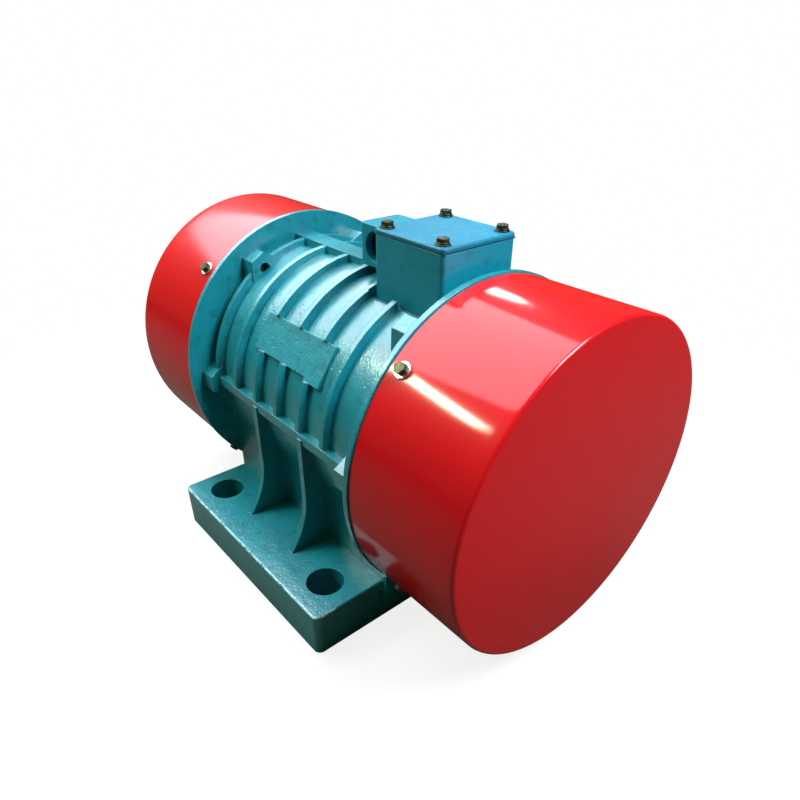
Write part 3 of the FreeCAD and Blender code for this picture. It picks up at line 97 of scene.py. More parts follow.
def add_node(
    tree: bpy.types.NodeTree,
    kind: str,
    inputs: dict[str | int, Value] | None = None,
    out: str | int = 0,
    **settings: object,
) -> Socket:
    """Add one node, set it and link it.

    Args:
        tree: The node tree that gets the node.
        kind: The node's type name, such as "ShaderNodeTexNoise".
        inputs: Values or output sockets for its inputs, by name or by number.
        out: The output that is handed back, by name or by number.
        **settings: The node's own settings, such as operation="MULTIPLY".

    Returns:
        The chosen output socket.
    """
    node = tree.nodes.new(kind)
    for name, value in settings.items():
        setattr(node, name, value)
    for name, value in (inputs or {}).items():
        if isinstance(value, Socket):
            tree.links.new(value, node.inputs[name])
        else:
            node.inputs[name].default_value = value
    return node.outputs[out]


def ramp(
    tree: bpy.types.NodeTree, value: Socket, low: float, high: float,
    start: float = 0.0, end: float = 1.0,
) -> Socket:
    """Spread a value from low..high to start..end with a smooth step, clamped at both ends."""
    return add_node(
        tree, "ShaderNodeMapRange",
        {"Value": value, "From Min": low, "From Max": high, "To Min": start, "To Max": end},
        interpolation_type="SMOOTHSTEP",
    )


def blend_colour(
    tree: bpy.types.NodeTree, share: Socket, first: str | Socket, second: str | Socket
) -> Socket:
    """Mix two colours, given as hex or as sockets, by a share from 0 to 1."""
    pair = [linear(c) if isinstance(c, str) else c for c in (first, second)]
    return add_node(
        tree, "ShaderNodeMix", {0: share, 6: pair[0], 7: pair[1]}, out=2, data_type="RGBA"
    )


# ---------------------------------------------------------------- finishes


@dataclass(frozen=True)
class Finish:
    """A real finish: its name, its colours in sRGB hex, and how it takes the light.

    Subclasses draw its pattern. Each finish makes its material once and hands it out after that.
    """

    name: str
    colour: str
    metallic: float = 0.0
    roughness: float = 0.5
    coat: float = 0.0
    coat_roughness: float = 0.05
    ior: float = 1.5
    specular: float = 0.5

    def material(self) -> bpy.types.Material:
        """The material, made on first use."""
        made = bpy.data.materials.get(self.name)
        if made:
            return made
        made = bpy.data.materials.new(self.name)
        made.use_nodes = True
        tree = made.node_tree
        shader = tree.nodes["Principled BSDF"]
        shader.inputs["Base Color"].default_value = linear(self.colour)
        shader.inputs["Metallic"].default_value = self.metallic
        shader.inputs["Roughness"].default_value = self.roughness
        shader.inputs["IOR"].default_value = self.ior
        shader.inputs["Specular IOR Level"].default_value = self.specular
        shader.inputs["Coat Weight"].default_value = self.coat
        shader.inputs["Coat Roughness"].default_value = self.coat_roughness
        place = add_node(tree, "ShaderNodeTexCoord", out="Object")
        self.draw(tree, shader, place)
        return made

    def draw(
        self, tree: bpy.types.NodeTree, shader: bpy.types.Node, place: Socket
    ) -> None:
        """Draw the pattern. The plain finish has none.

        Args:
            tree: The material's nodes.
            shader: Its Principled shader.
            place: Object coordinates, in metres.
        """

    @staticmethod
    def noise(
        tree: bpy.types.NodeTree, place: Socket, size_mm: float, detail: float = 2.0,
        roughness: float = 0.5,
    ) -> Socket:
        """Cloudy noise whose clouds are size_mm across."""
        return add_node(
            tree, "ShaderNodeTexNoise",
            {"Vector": place, "Scale": per_metre(size_mm), "Detail": detail,
             "Roughness": roughness},
        )

    @staticmethod
    def bump(
        tree: bpy.types.NodeTree, height: Socket, rise_mm: float, normal: Socket | None = None
    ) -> Socket:
        """Tilt the surface as a relief rise_mm high would, on top of the normal given."""
        inputs: dict[str | int, Value] = {
            "Height": height, "Distance": rise_mm * MM, "Strength": 1.0
        }
        if normal is not None:
            inputs["Normal"] = normal
        return add_node(tree, "ShaderNodeBump", inputs)

    def vary_roughness(
        self, tree: bpy.types.NodeTree, shader: bpy.types.Node, pattern: Socket, less: float,
        more: float,
    ) -> None:
        """Let the roughness follow a noise pattern, from `less` below it to `more` above it."""
        tree.links.new(
            ramp(tree, pattern, 0.3, 0.7, self.roughness - less, self.roughness + more),
            shader.inputs["Roughness"],
        )


@dataclass(frozen=True)
class CastEnamel(Finish):
    """Glossy alkyd enamel, brushed and sprayed thick over rough sand-cast grey iron.

    Sand grains and cinders in the mould leave a lumpy skin that the paint only half fills, so
    lights break into many small sparks. The hollows and pits of that skin are given painted
    shade in the deep tone. Along the foot's upper front edges, pale flecks stand for chipped
    paint and are also a painted highlight on the upward-tilted edge faces.
    """

    deep: str = "#0c4655"
    # Colour of the pale flecks on the foot's edges: partly chipped paint, partly painted
    # highlight.
    worn: str = "#9fd6da"
    grain_mm: float = 1.7
    grain_rise_mm: float = 0.30
    swell_mm: float = 8.0
    swell_rise_mm: float = 0.55
    pit_mm: float = 5.0
    pit_rise_mm: float = 0.25
    edge_mm: float = 0.9
    cloud_mm: float = 30.0
    cloud_share: float = 0.5
    # Where and how strongly the pale flecks are drawn: partly chipped paint, partly painted
    # highlight.
    wear: float = 1.0
    wear_height_mm: float = 33.0
    wear_reach_mm: float = 4.0
    wear_from_mm: float = 116.0
    chip_mm: float = 5.0
    cloud_band: Band = (0.4, 0.7)
    hollow_band: Band = (0.30, 0.48)
    pit_band: Band = (0.05, 0.25)
    # Painted shade in the relief's pits and hollows: where it falls and how dark it is.
    pit_paint_band: Band = (0.03, 0.16)
    hollow_share: float = 0.45
    pit_share: float = 0.7

    def draw(
        self, tree: bpy.types.NodeTree, shader: bpy.types.Node, place: Socket
    ) -> None:
        """Lumps, pits, uneven paint, painted shade in hollows and pits, pale flecks and painted
        highlight.
        """
        soft = add_node(tree, "ShaderNodeBevel", {"Radius": self.edge_mm * MM}, samples=4)
        grain = self.noise(tree, place, self.grain_mm, 2.0, 0.55)
        swell = self.noise(tree, place, self.swell_mm, 2.0)
        cells = add_node(
            tree, "ShaderNodeTexVoronoi",
            {"Vector": place, "Scale": per_metre(self.pit_mm), "Randomness": 1.0},
            out="Distance",
        )
        relief = self.bump(tree, swell, self.swell_rise_mm, soft)
        relief = self.bump(tree, grain, self.grain_rise_mm, relief)
        relief = self.bump(tree, ramp(tree, cells, *self.pit_band), self.pit_rise_mm, relief)
        tree.links.new(relief, shader.inputs["Normal"])
        tree.links.new(relief, shader.inputs["Coat Normal"])

        cloud = self.noise(tree, place, self.cloud_mm, 3.0)
        clouds = ramp(tree, cloud, *self.cloud_band, 0.0, self.cloud_share)
        paint = blend_colour(tree, clouds, self.colour, self.deep)
        # Painted shade: the relief's hollows and pits move toward the deep tone, darker on the
        # frame and box.
        hollows = ramp(tree, swell, *self.hollow_band, self.hollow_share, 0.0)
        paint = blend_colour(tree, hollows, paint, self.deep)
        pits = ramp(tree, cells, *self.pit_paint_band, self.pit_share, 0.0)
        paint = blend_colour(tree, pits, paint, self.deep)
        # Pale flecks on the foot's upper edges: partly chipped paint, partly painted highlight.
        if self.wear:
            paint = blend_colour(tree, self.chips(tree, place), paint, self.worn)
        tree.links.new(paint, shader.inputs["Base Color"])
        self.vary_roughness(tree, shader, grain, 0.07, 0.09)

    def chips(self, tree: bpy.types.NodeTree, place: Socket) -> Socket:
        """Share of pale flecks, part chipped paint and part painted highlight: a broken line round
        the foot's upper edges, away from the barrel.

        It is the product of five shares: near the foot's upper level, far out to the side, off
        the flat top, off the upright flanks, and broken up by noise. So it keeps to the
        upward-tilted edge faces, where the painted highlight lies.
        """
        parts = tree.nodes.new("ShaderNodeSeparateXYZ")
        tree.links.new(place, parts.inputs[0])
        height = add_node(
            tree, "ShaderNodeMath", {0: parts.outputs["Z"], 1: self.wear_height_mm * MM},
            operation="SUBTRACT",
        )
        height = add_node(tree, "ShaderNodeMath", {0: height}, operation="ABSOLUTE")
        near = ramp(tree, height, self.wear_reach_mm * MM, 0.0)
        side = add_node(tree, "ShaderNodeMath", {0: parts.outputs["Y"]}, operation="ABSOLUTE")
        far = ramp(
            tree, side, self.wear_from_mm * MM, (self.wear_from_mm + self.wear_reach_mm) * MM
        )
        flat = add_node(tree, "ShaderNodeNewGeometry", out="Normal")
        turned = tree.nodes.new("ShaderNodeSeparateXYZ")
        tree.links.new(flat, turned.inputs[0])
        off_top = ramp(tree, turned.outputs["Z"], 0.985, 0.94)
        off_flank = ramp(tree, turned.outputs["Z"], 0.02, 0.12)
        share = ramp(tree, self.noise(tree, place, self.chip_mm, 4.0, 0.75), 0.36, 0.52)
        for factor in (near, far, off_top, off_flank):
            share = add_node(
                tree, "ShaderNodeMath", {0: share, 1: factor}, operation="MULTIPLY"
            )
        return add_node(
            tree, "ShaderNodeMath", {0: share, 1: self.wear}, operation="MULTIPLY"
        )


@dataclass(frozen=True)
class SheetEnamel(Finish):
    """Glossy enamel sprayed on smooth steel: faint orange peel over a slightly wavy sheet."""

    deep: str = "#a9101d"
    peel_mm: float = 2.6
    peel_rise_mm: float = 0.006
    wave_mm: float = 60.0
    wave_rise_mm: float = 0.10
    dust_mm: float = 2.4
    dust_rise_mm: float = 0.03
    drift_mm: float = 140.0
    drift_share: float = 0.35
    haze_mm: float = 40.0

    def draw(
        self, tree: bpy.types.NodeTree, shader: bpy.types.Node, place: Socket
    ) -> None:
        """Orange peel, waves in the sheet, dust in the paint and a slow drift of the tone."""
        wave = self.noise(tree, place, self.wave_mm, 0.0)
        peel = self.noise(tree, place, self.peel_mm, 1.0)
        dust = ramp(tree, self.noise(tree, place, self.dust_mm, 2.0, 0.8), 0.72, 0.82)
        relief = self.bump(tree, wave, self.wave_rise_mm)
        relief = self.bump(tree, peel, self.peel_rise_mm, relief)
        relief = self.bump(tree, dust, self.dust_rise_mm, relief)
        tree.links.new(relief, shader.inputs["Normal"])
        tree.links.new(relief, shader.inputs["Coat Normal"])
        tone = self.noise(tree, place, self.drift_mm, 1.0)
        drift = ramp(tree, tone, 0.4, 0.65, 0.0, self.drift_share)
        tree.links.new(
            blend_colour(tree, drift, self.colour, self.deep), shader.inputs["Base Color"]
        )
        haze = self.noise(tree, place, self.haze_mm, 2.0)
        self.vary_roughness(tree, shader, haze, 0.03, 0.04)


class Lay(Enum):
    """Which way the marks of a cutting tool run over a piece."""

    ALONG_SHAFT = "along the shaft"
    ROUND_SHAFT = "round the shaft"
    NO_LAY = "no lay"


@dataclass(frozen=True)
class CutMetal(Finish):
    """Bare metal with fine tool marks, such as a turned shaft, a ground ring or a sheet's edge."""

    deep: str = "#55585c"
    lay: Lay = Lay.ROUND_SHAFT
    mark_mm: float = 0.5
    mark_rise_mm: float = 0.01
    stain_mm: float = 18.0

    def draw(
        self, tree: bpy.types.NodeTree, shader: bpy.types.Node, place: Socket
    ) -> None:
        """Tool marks stretched along their lay, and soft stains of oil and handling."""
        stretch = {
            Lay.ROUND_SHAFT: (1.0, 0.02, 0.02),
            Lay.ALONG_SHAFT: (0.02, 1.0, 1.0),
            Lay.NO_LAY: (1.0, 1.0, 1.0),
        }[self.lay]
        drawn = add_node(
            tree, "ShaderNodeMapping", {"Vector": place, "Scale": stretch}
        )
        marks = self.noise(tree, drawn, self.mark_mm, 2.0, 0.7)
        stain = ramp(tree, self.noise(tree, place, self.stain_mm, 3.0), 0.35, 0.7)
        tree.links.new(
            blend_colour(tree, stain, self.colour, self.deep), shader.inputs["Base Color"]
        )
        relief = self.bump(tree, marks, self.mark_rise_mm)
        tree.links.new(relief, shader.inputs["Normal"])
        self.vary_roughness(tree, shader, marks, 0.06, 0.1)


@dataclass(frozen=True)
class PlatedZinc(Finish):
    """Zinc plate with a chromate film: its grey shifts to straw in small clouds."""

    straw: str = "#b0a870"
    cloud_mm: float = 2.5
    grain_mm: float = 0.5
    grain_rise_mm: float = 0.02

    def draw(
        self, tree: bpy.types.NodeTree, shader: bpy.types.Node, place: Socket
    ) -> None:
        """Clouds of chromate colour and a fine frosted grain."""
        cloud = ramp(tree, self.noise(tree, place, self.cloud_mm, 3.0), 0.4, 0.66)
        tree.links.new(
            blend_colour(tree, cloud, self.colour, self.straw), shader.inputs["Base Color"]
        )
        grain = self.noise(tree, place, self.grain_mm, 2.0)
        tree.links.new(self.bump(tree, grain, self.grain_rise_mm), shader.inputs["Normal"])
        self.vary_roughness(tree, shader, grain, 0.08, 0.12)


@dataclass(frozen=True)
class StackedLines(Finish):
    """A body made of many layers or wires, whose edges show as close lines."""

    gap: str = "#1c1c1c"
    pitch_mm: float = 1.0
    line_rise_mm: float = 0.12
    direction: str = "X"

    def draw(
        self, tree: bpy.types.NodeTree, shader: bpy.types.Node, place: Socket
    ) -> None:
        """Lines at the layers' pitch, darker and lower where two layers meet."""
        lines = add_node(
            tree, "ShaderNodeTexWave",
            {"Vector": place, "Scale": WAVE_PERIOD * per_metre(self.pitch_mm),
             "Distortion": 0.6, "Detail": 1.0, "Detail Scale": 0.4},
            bands_direction=self.direction,
        )
        tree.links.new(
            blend_colour(tree, ramp(tree, lines, 0.1, 0.5), self.gap, self.colour),
            shader.inputs["Base Color"],
        )
        tree.links.new(
            self.bump(tree, lines, self.line_rise_mm), shader.inputs["Normal"]
        )


@dataclass(frozen=True)
class Moulded(Finish):
    """Moulded rubber or thermoset: one colour, a fine spark-eroded grain and some dust."""

    dust: str = "#3a3a38"
    grain_mm: float = 0.7
    grain_rise_mm: float = 0.04
    cloud_mm: float = 12.0
    cloud_share: float = 0.5

    def draw(
        self, tree: bpy.types.NodeTree, shader: bpy.types.Node, place: Socket
    ) -> None:
        """Mould grain, and dust that gathers in clouds."""
        grain = self.noise(tree, place, self.grain_mm, 2.0)
        dust = self.noise(tree, place, self.cloud_mm, 4.0)
        cloud = ramp(tree, dust, 0.5, 0.75, 0.0, self.cloud_share)
        tree.links.new(
            blend_colour(tree, cloud, self.colour, self.dust), shader.inputs["Base Color"]
        )
        tree.links.new(
            self.bump(tree, grain, self.grain_rise_mm), shader.inputs["Normal"]
        )


@dataclass(frozen=True)
class StudioWhite(Finish):
    """Matt paper roll: white to the eye, with soft shadows near the motor only.

    Only viewing rays meet the white. All others meet `bounce`, a darker tone, so that little
    light comes back up from the floor, as over a dark cloth.
    """

    own_light: float = 0.84
    shadow_reach: float = 0.30
    plain_from: float = 0.60
    bounce: str = "#565049"

    def draw(
        self, tree: bpy.types.NodeTree, shader: bpy.types.Node, place: Socket
    ) -> None:
        """Mix the paper with an even white wherever a viewing ray meets it."""
        path = tree.nodes.new("ShaderNodeLightPath")
        seen = add_node(
            tree, "ShaderNodeMath",
            {0: path.outputs["Is Camera Ray"], 1: path.outputs["Is Transmission Ray"]},
            operation="MAXIMUM",
        )
        tree.links.new(
            blend_colour(tree, seen, self.bounce, self.colour), shader.inputs["Base Color"]
        )
        distance = add_node(
            tree, "ShaderNodeVectorMath", {0: place}, out="Value", operation="LENGTH"
        )
        plain = ramp(tree, distance, self.shadow_reach, self.plain_from, self.own_light, 1.0)
        share = add_node(tree, "ShaderNodeMath", {0: seen, 1: plain}, operation="MULTIPLY")
        glow = add_node(tree, "ShaderNodeEmission", {"Color": WHITE, "Strength": 1.0})
        both = add_node(
            tree, "ShaderNodeMixShader", {0: share, 1: shader.outputs[0], 2: glow}
        )
        tree.links.new(both, tree.nodes["Material Output"].inputs["Surface"])


BODY_ENAMEL = CastEnamel(
    "blue_green_enamel_on_cast_iron", "#0d7f8e", roughness=0.42, coat=1.0, specular=0.3,
    coat_roughness=0.22, deep="#0a5660", grain_rise_mm=0.16, swell_rise_mm=0.30,
    pit_rise_mm=0.12, cloud_share=0.3,
)
# The box is cast in a finer mould, so its skin is smoother than the frame's.
BOX_ENAMEL = CastEnamel(
    "blue_green_enamel_on_fine_casting", "#0a7c92", roughness=0.40, coat=0.35, specular=0.3,
    coat_roughness=0.22, deep="#0c6070", grain_rise_mm=0.08, swell_rise_mm=0.18,
    pit_rise_mm=0.06, cloud_share=0.2, wear=0.0,
)
# The lid is a smooth plate, so its enamel shows hardly any sand.
PLATE_ENAMEL = CastEnamel(
    "blue_green_enamel_on_smooth_plate", "#0a6682", roughness=0.5, coat=0.15, specular=0.2,
    coat_roughness=0.3, deep="#1880a4", grain_rise_mm=0.02, swell_rise_mm=0.08,
    pit_rise_mm=0.01, pit_mm=24.0, cloud_share=0.3, wear=0.0,
)
DRUM_ENAMEL = SheetEnamel(
    "red_enamel_on_pressed_steel", "#be0e17", roughness=0.42, coat=0.6, coat_roughness=0.11,
    specular=0.05, deep="#a60a13",
)
ZINC = PlatedZinc(
    "olive_zinc_plate", "#3d3f33", metallic=0.9, roughness=0.42, straw="#5b5a40"
)
DARK_ZINC = PlatedZinc(
    "dark_passivated_zinc_plate", "#28352e", metallic=0.9, roughness=0.42, straw="#5b5a40"
)
PALE_ZINC = PlatedZinc(
    "clear_zinc_plate", "#d3d4cf", metallic=1.0, roughness=0.34, straw="#bfc0b4"
)
GREY_IRON = CutMetal(
    "machined_grey_iron", "#7a7c7e", metallic=0.85, roughness=0.5, deep="#4c4e50",
    mark_mm=0.8, mark_rise_mm=0.03,
)
FLAME_CUT = CutMetal(
    "flame_cut_steel_plate", "#6c6b68", metallic=0.8, roughness=0.55, deep="#3f3e3c",
    lay=Lay.ALONG_SHAFT, mark_mm=1.6, mark_rise_mm=0.12,
)
TURNED = CutMetal("turned_steel", "#b9bbbe", metallic=1.0, roughness=0.28, deep="#8d9095")
GROUND = CutMetal(
    "ground_bearing_steel", "#d4d6da", metallic=1.0, roughness=0.14, deep="#b2b5ba",
    mark_mm=0.25, mark_rise_mm=0.002,
)
BRASS = CutMetal(
    "machined_brass", "#cfa74e", metallic=1.0, roughness=0.26, deep="#a57f35", mark_mm=0.4
)
DIE_CAST = CutMetal(
    "die_cast_aluminium", "#c3c5c7", metallic=0.95, roughness=0.42, deep="#9a9ca0",
    lay=Lay.NO_LAY, mark_mm=1.4, mark_rise_mm=0.05,
)
# Sheets are 0.5 mm thick, drawn twice as coarse so that they show.
LAMINATED = StackedLines(
    "stacked_electrical_sheet", "#8b8e92", metallic=0.9, roughness=0.4, gap="#2b2c2e"
)
# Wire 0.8 mm thick, drawn at a pitch of 1.4 mm so that it shows.
WOUND_WIRE = StackedLines(
    "varnished_copper_winding", "#b4652a", metallic=0.6, roughness=0.35, coat=0.5,
    gap="#4a2410", pitch_mm=1.4, line_rise_mm=0.3, direction="Y",
)
SEAL_RUBBER = Moulded("nitrile_rubber", "#0e0e0f", roughness=0.6)
# The box was sprayed after it was put together, so its gaskets' edges took paint.
PAINTED_GASKET = Moulded(
    "painted_over_gasket", "#0f4353", roughness=0.5, dust="#0b2f3a", grain_mm=1.2
)
THERMOSET = Moulded("brown_phenolic_thermoset", "#1f1712", roughness=0.35, dust="#2c221b")
PAPER = StudioWhite("studio_paper_roll", "#f4f4f4", roughness=0.9)


# ---------------------------------------------------------------- small tools for pieces


class Side(Enum):
    """The two ends of the motor. The value is the sign of X."""

    RIGHT = 1
    LEFT = -1

    @property
    def word(self) -> str:
        """The end's name, as the nodes spell it."""
        return self.name.lower()


def link_mesh(name: str, mesh: bpy.types.Mesh) -> bpy.types.Object:
    """Put a mesh into the scene as an object that sits at the origin."""
    made = bpy.data.objects.new(name, mesh)
    bpy.context.scene.collection.objects.link(made)
    return made


def add_piece(
    name: str, mesh: bpy.types.Mesh, finish: Finish, body: str,
    replaces: Sequence[str] = (),
) -> bpy.types.Object:
    """Add a finished piece.

    Args:
        name: The piece's name.
        mesh: Its mesh, already in place.
        finish: What it is made of.
        body: The body that carries it.
        replaces: The CAD nodes that it stands for.

    Returns:
        The new object.
    """
    made = link_mesh(name, mesh)
    made.data.materials.clear()
    made.data.materials.append(finish.material())
    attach(made, body)
    if replaces:
        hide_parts(*replaces)
    log.info("%s: %d faces, %s", name, len(mesh.polygons), finish.name)
    return made


def grid_mesh(name: str, points: np.ndarray, wrap_u: bool = False) -> bpy.types.Mesh:
    """Make a mesh from a grid of points.

    Corner (i, j) joins (i+1, j), (i+1, j+1) and (i, j+1) in one quad, so a face points along
    the cross product of the u step and the v step.

    Args:
        name: The mesh's name.
        points: Places in metres, of shape (u count, v count, 3).
        wrap_u: Whether the last row joins the first.

    Returns:
        The mesh.
    """
    rows, columns = points.shape[:2]
    u = np.arange(rows if wrap_u else rows - 1)
    i, j = np.meshgrid(u, np.arange(columns - 1), indexing="ij")
    i2, j2 = (i + 1) % rows, j + 1
    quads = np.stack(
        [i * columns + j, i2 * columns + j, i2 * columns + j2, i * columns + j2], -1
    )
    mesh = bpy.data.meshes.new(name)
    mesh.from_pydata(points.reshape(-1, 3).tolist(), [], quads.reshape(-1, 4).tolist())
    mesh.polygons.foreach_set("use_smooth", np.ones(len(mesh.polygons), bool))
    mesh.update()
    return mesh


def tidy_mesh(
    mesh: bpy.types.Mesh, weld_mm: float = 0.002, flat_degrees: float = 0.0,
    sharp_degrees: float = 32.0, turn_out: bool = False,
) -> bpy.types.Mesh:
    """Weld a mesh, join its flat triangles, and mark its sharp edges.

    Args:
        mesh: The mesh, changed in place.
        weld_mm: Points nearer than this become one.
        flat_degrees: Neighbouring faces within this angle are joined; 0 joins none.
        sharp_degrees: Edges sharper than this stay sharp in the shading.
        turn_out: Whether the faces are turned to point outwards.

    Returns:
        The same mesh.
    """
    work = bmesh.new()
    work.from_mesh(mesh)
    bmesh.ops.remove_doubles(work, verts=work.verts, dist=weld_mm * MM)
    if turn_out:
        bmesh.ops.recalc_face_normals(work, faces=work.faces)
    if flat_degrees:
        bmesh.ops.dissolve_limit(
            work, angle_limit=math.radians(flat_degrees), verts=work.verts, edges=work.edges
        )
    work.to_mesh(mesh)
    work.free()
    mesh.polygons.foreach_set("use_smooth", np.ones(len(mesh.polygons), bool))
    mesh.set_sharp_from_angle(angle=math.radians(sharp_degrees))
    mesh.update()
    return mesh


def copy_of_node(node: str) -> bpy.types.Mesh:
    """A plain copy of a CAD node's triangles, with no stored normals or materials."""
    source = frame["nodes"][node].data
    points = np.zeros(len(source.vertices) * 3, np.float32)
    source.vertices.foreach_get("co", points)
    corners = np.zeros(len(source.loops), np.int32)
    source.loops.foreach_get("vertex_index", corners)
    mesh = bpy.data.meshes.new(f"{node}_dressed")
    mesh.from_pydata(
        points.reshape(-1, 3).tolist(), [], corners.reshape(-1, 3).tolist()
    )
    return mesh


def dress_node(node: str, finish: Finish) -> None:
    """Give a CAD node its finish and leave its mesh as it is."""
    mesh = frame["nodes"][node].data
    mesh.materials.clear()
    mesh.materials.append(finish.material())
    log.info("%s: as built, %s", node, finish.name)


def soften_node(
    node: str, finish: Finish, edge_mm: float, segments: int = 2,
    flat_degrees: float = 0.2, edge_degrees: float = 35.0,
) -> bpy.types.Object:
    """Stand for a CAD node with a welded copy whose edges are rounded.

    Args:
        node: The CAD node.
        finish: What it is made of.
        edge_mm: How far the rounding reaches from each edge.
        segments: How many faces make the rounding.
        flat_degrees: Faces within this angle are joined before the edges are rounded.
        edge_degrees: Edges sharper than this are rounded.

    Returns:
        The new object.
    """
    mesh = tidy_mesh(copy_of_node(node), flat_degrees=flat_degrees)
    body = frame["nodes"][node]["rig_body"]
    made = add_piece(f"{node}_dressed", mesh, finish, body, [node])
    bevel = made.modifiers.new("rounded_edges", "BEVEL")
    bevel.width = edge_mm * MM
    bevel.segments = segments
    bevel.limit_method = "ANGLE"
    bevel.angle_limit = math.radians(edge_degrees)
    bevel.use_clamp_overlap = True
    bevel.harden_normals = False
    return made


def turn_profile(profile: np.ndarray, steps: int) -> np.ndarray:
    """Turn a profile about X.

    Point (i, j) is (x_j, r_j sin t_i, r_j cos t_i), with t_i going once round in equal steps.

    Args:
        profile: Points (x, radius) in metres, of shape (n, 2).
        steps: How many steps make the turn.

    Returns:
        A grid of shape (steps, n, 3) that closes in its first direction.
    """
    turn = np.linspace(0.0, 2.0 * np.pi, steps, endpoint=False)[:, None]
    x, radius = profile[None, :, 0], profile[None, :, 1]
    return np.stack(
        [x + 0.0 * turn, radius * np.sin(turn), radius * np.cos(turn)], -1
    )


def rounded_corner(
    centre: tuple[float, float], radius: float, start: float, end: float, steps: int
) -> np.ndarray:
    """Points on an arc: centre + radius (cos a, sin a), with a from start to end in degrees."""
    angle = np.radians(np.linspace(start, end, steps))
    return np.array(centre) + radius * np.stack([np.cos(angle), np.sin(angle)], -1)


# ---------------------------------------------------------------- the motor's sub-assemblies


@dataclass
class MotorHousing:
    """The ribbed iron casting with its foot, and the end shields bolted into it."""

    edge_mm: float = 0.7

    def build(self) -> None:
        """Dress the casting and the shields."""
        soften_node("frame_casting", BODY_ENAMEL, self.edge_mm)
        for side in Side:
            dress_node(f"end_shield_{side.word}", GREY_IRON)
        dress_node("end_shield_bolts", ZINC)


@dataclass
class DrumCover:
    """A pressed steel drum over one pair of weights, with its rubber ring and four bolts."""

    side: Side
    shaft_height: float = 0.120
    radius: float = 0.110
    sheet: float = 0.002
    mouth: float = 0.103
    end: float = 0.189
    corner: float = 0.0022
    dish: float = 0.0006
    lip: float = 0.0004
    pole: float = 1e-6
    steps: int = 320
    face_points: int = 28
    wall_points: int = 14
    outer_corner_points: int = 10
    inner_corner_points: int = 6

    def profile(self) -> np.ndarray:
        """The cover's section, from the middle of its outer face round to the inside.

        The face dishes in by `dish` as a cosine of the radius, an arc rounds the corner, and the
        wall runs straight to the mouth, where the sheet turns back at its own thickness. Both
        faces end at `pole` from the axis, where tidy_mesh welds the points into one.
        """
        flat = self.radius - self.corner
        inner_wall = self.radius - self.sheet
        centre = (self.end - self.corner, flat)
        out = np.linspace(0.0, 1.0, self.face_points)
        sink = self.dish * (0.5 + 0.5 * np.cos(np.pi * out))
        face = np.stack([self.end - sink, flat * out], -1)
        face[0, 1] = self.pole
        outside = rounded_corner(centre, self.corner, 0.0, 90.0, self.outer_corner_points)
        wall = np.linspace(centre[0], self.mouth + self.lip, self.wall_points)
        skin = np.stack([wall, np.full(self.wall_points, self.radius)], -1)
        lip = np.array([
            [self.mouth, self.radius - self.lip],
            [self.mouth, inner_wall + self.lip],
            [self.mouth + self.lip, inner_wall],
        ])
        inside = rounded_corner(
            centre, self.corner - self.sheet, 90.0, 0.0, self.inner_corner_points
        )
        back = np.stack([self.end - self.sheet - sink[::-1], flat * out[::-1]], -1)
        back[-1, 1] = self.pole
        return np.concatenate([face, outside[1:], skin[1:], lip, inside, back[1:]])

    def build(self) -> None:
        """Turn the drum from its profile and dress what holds it."""
        word = self.side.word
        grid = turn_profile(self.profile(), self.steps)
        grid[..., 0] *= self.side.value
        grid[..., 2] += self.shaft_height
        mesh = grid_mesh(f"drum_{word}", grid, wrap_u=True)
        tidy_mesh(mesh, turn_out=True)
        add_piece(
            f"drum_cover_{word}", mesh, DRUM_ENAMEL, FRAME_BODY,
            [f"end_cover_{word}"],
        )
        dress_node(f"cover_ring_{word}", SEAL_RUBBER)


@dataclass
class CoverFixings:
    """The bolts round the two drums and their pale washers."""

    head_edge_mm: float = 0.5
    washer_edge_mm: float = 0.25

    def build(self) -> None:
        """Round the bolt heads and dress the washers."""
        soften_node("cover_bolts", ZINC, self.head_edge_mm, 3)
        soften_node("cover_washers", PALE_ZINC, self.washer_edge_mm)


@dataclass
class TerminalBox:
    """The connection box on the barrel, its lid, its screws and what is inside."""

    edge_mm: float = 0.8
    head_edge_mm: float = 0.4
    washer_edge_mm: float = 0.2

    def build(self) -> None:
        """Round and dress the box, the lid and the screws, then the inside."""
        soften_node("terminal_box", BOX_ENAMEL, self.edge_mm)
        soften_node("terminal_lid", PLATE_ENAMEL, self.edge_mm, 3)
        soften_node("lid_screws", DARK_ZINC, self.head_edge_mm)
        for node in ("lid_washers", "lid_spring_washers"):
            soften_node(node, DARK_ZINC, self.washer_edge_mm)
        for node in ("box_gasket", "lid_gasket"):
            dress_node(node, PAINTED_GASKET)
        dress_node("entry_grommet", SEAL_RUBBER)
        dress_node("box_screws", ZINC)
        dress_node("terminal_block", THERMOSET)
        dress_node("entry_bush", THERMOSET)
        for node in ("terminal_studs", "terminal_nuts", "earth_screw"):
            dress_node(node, BRASS)


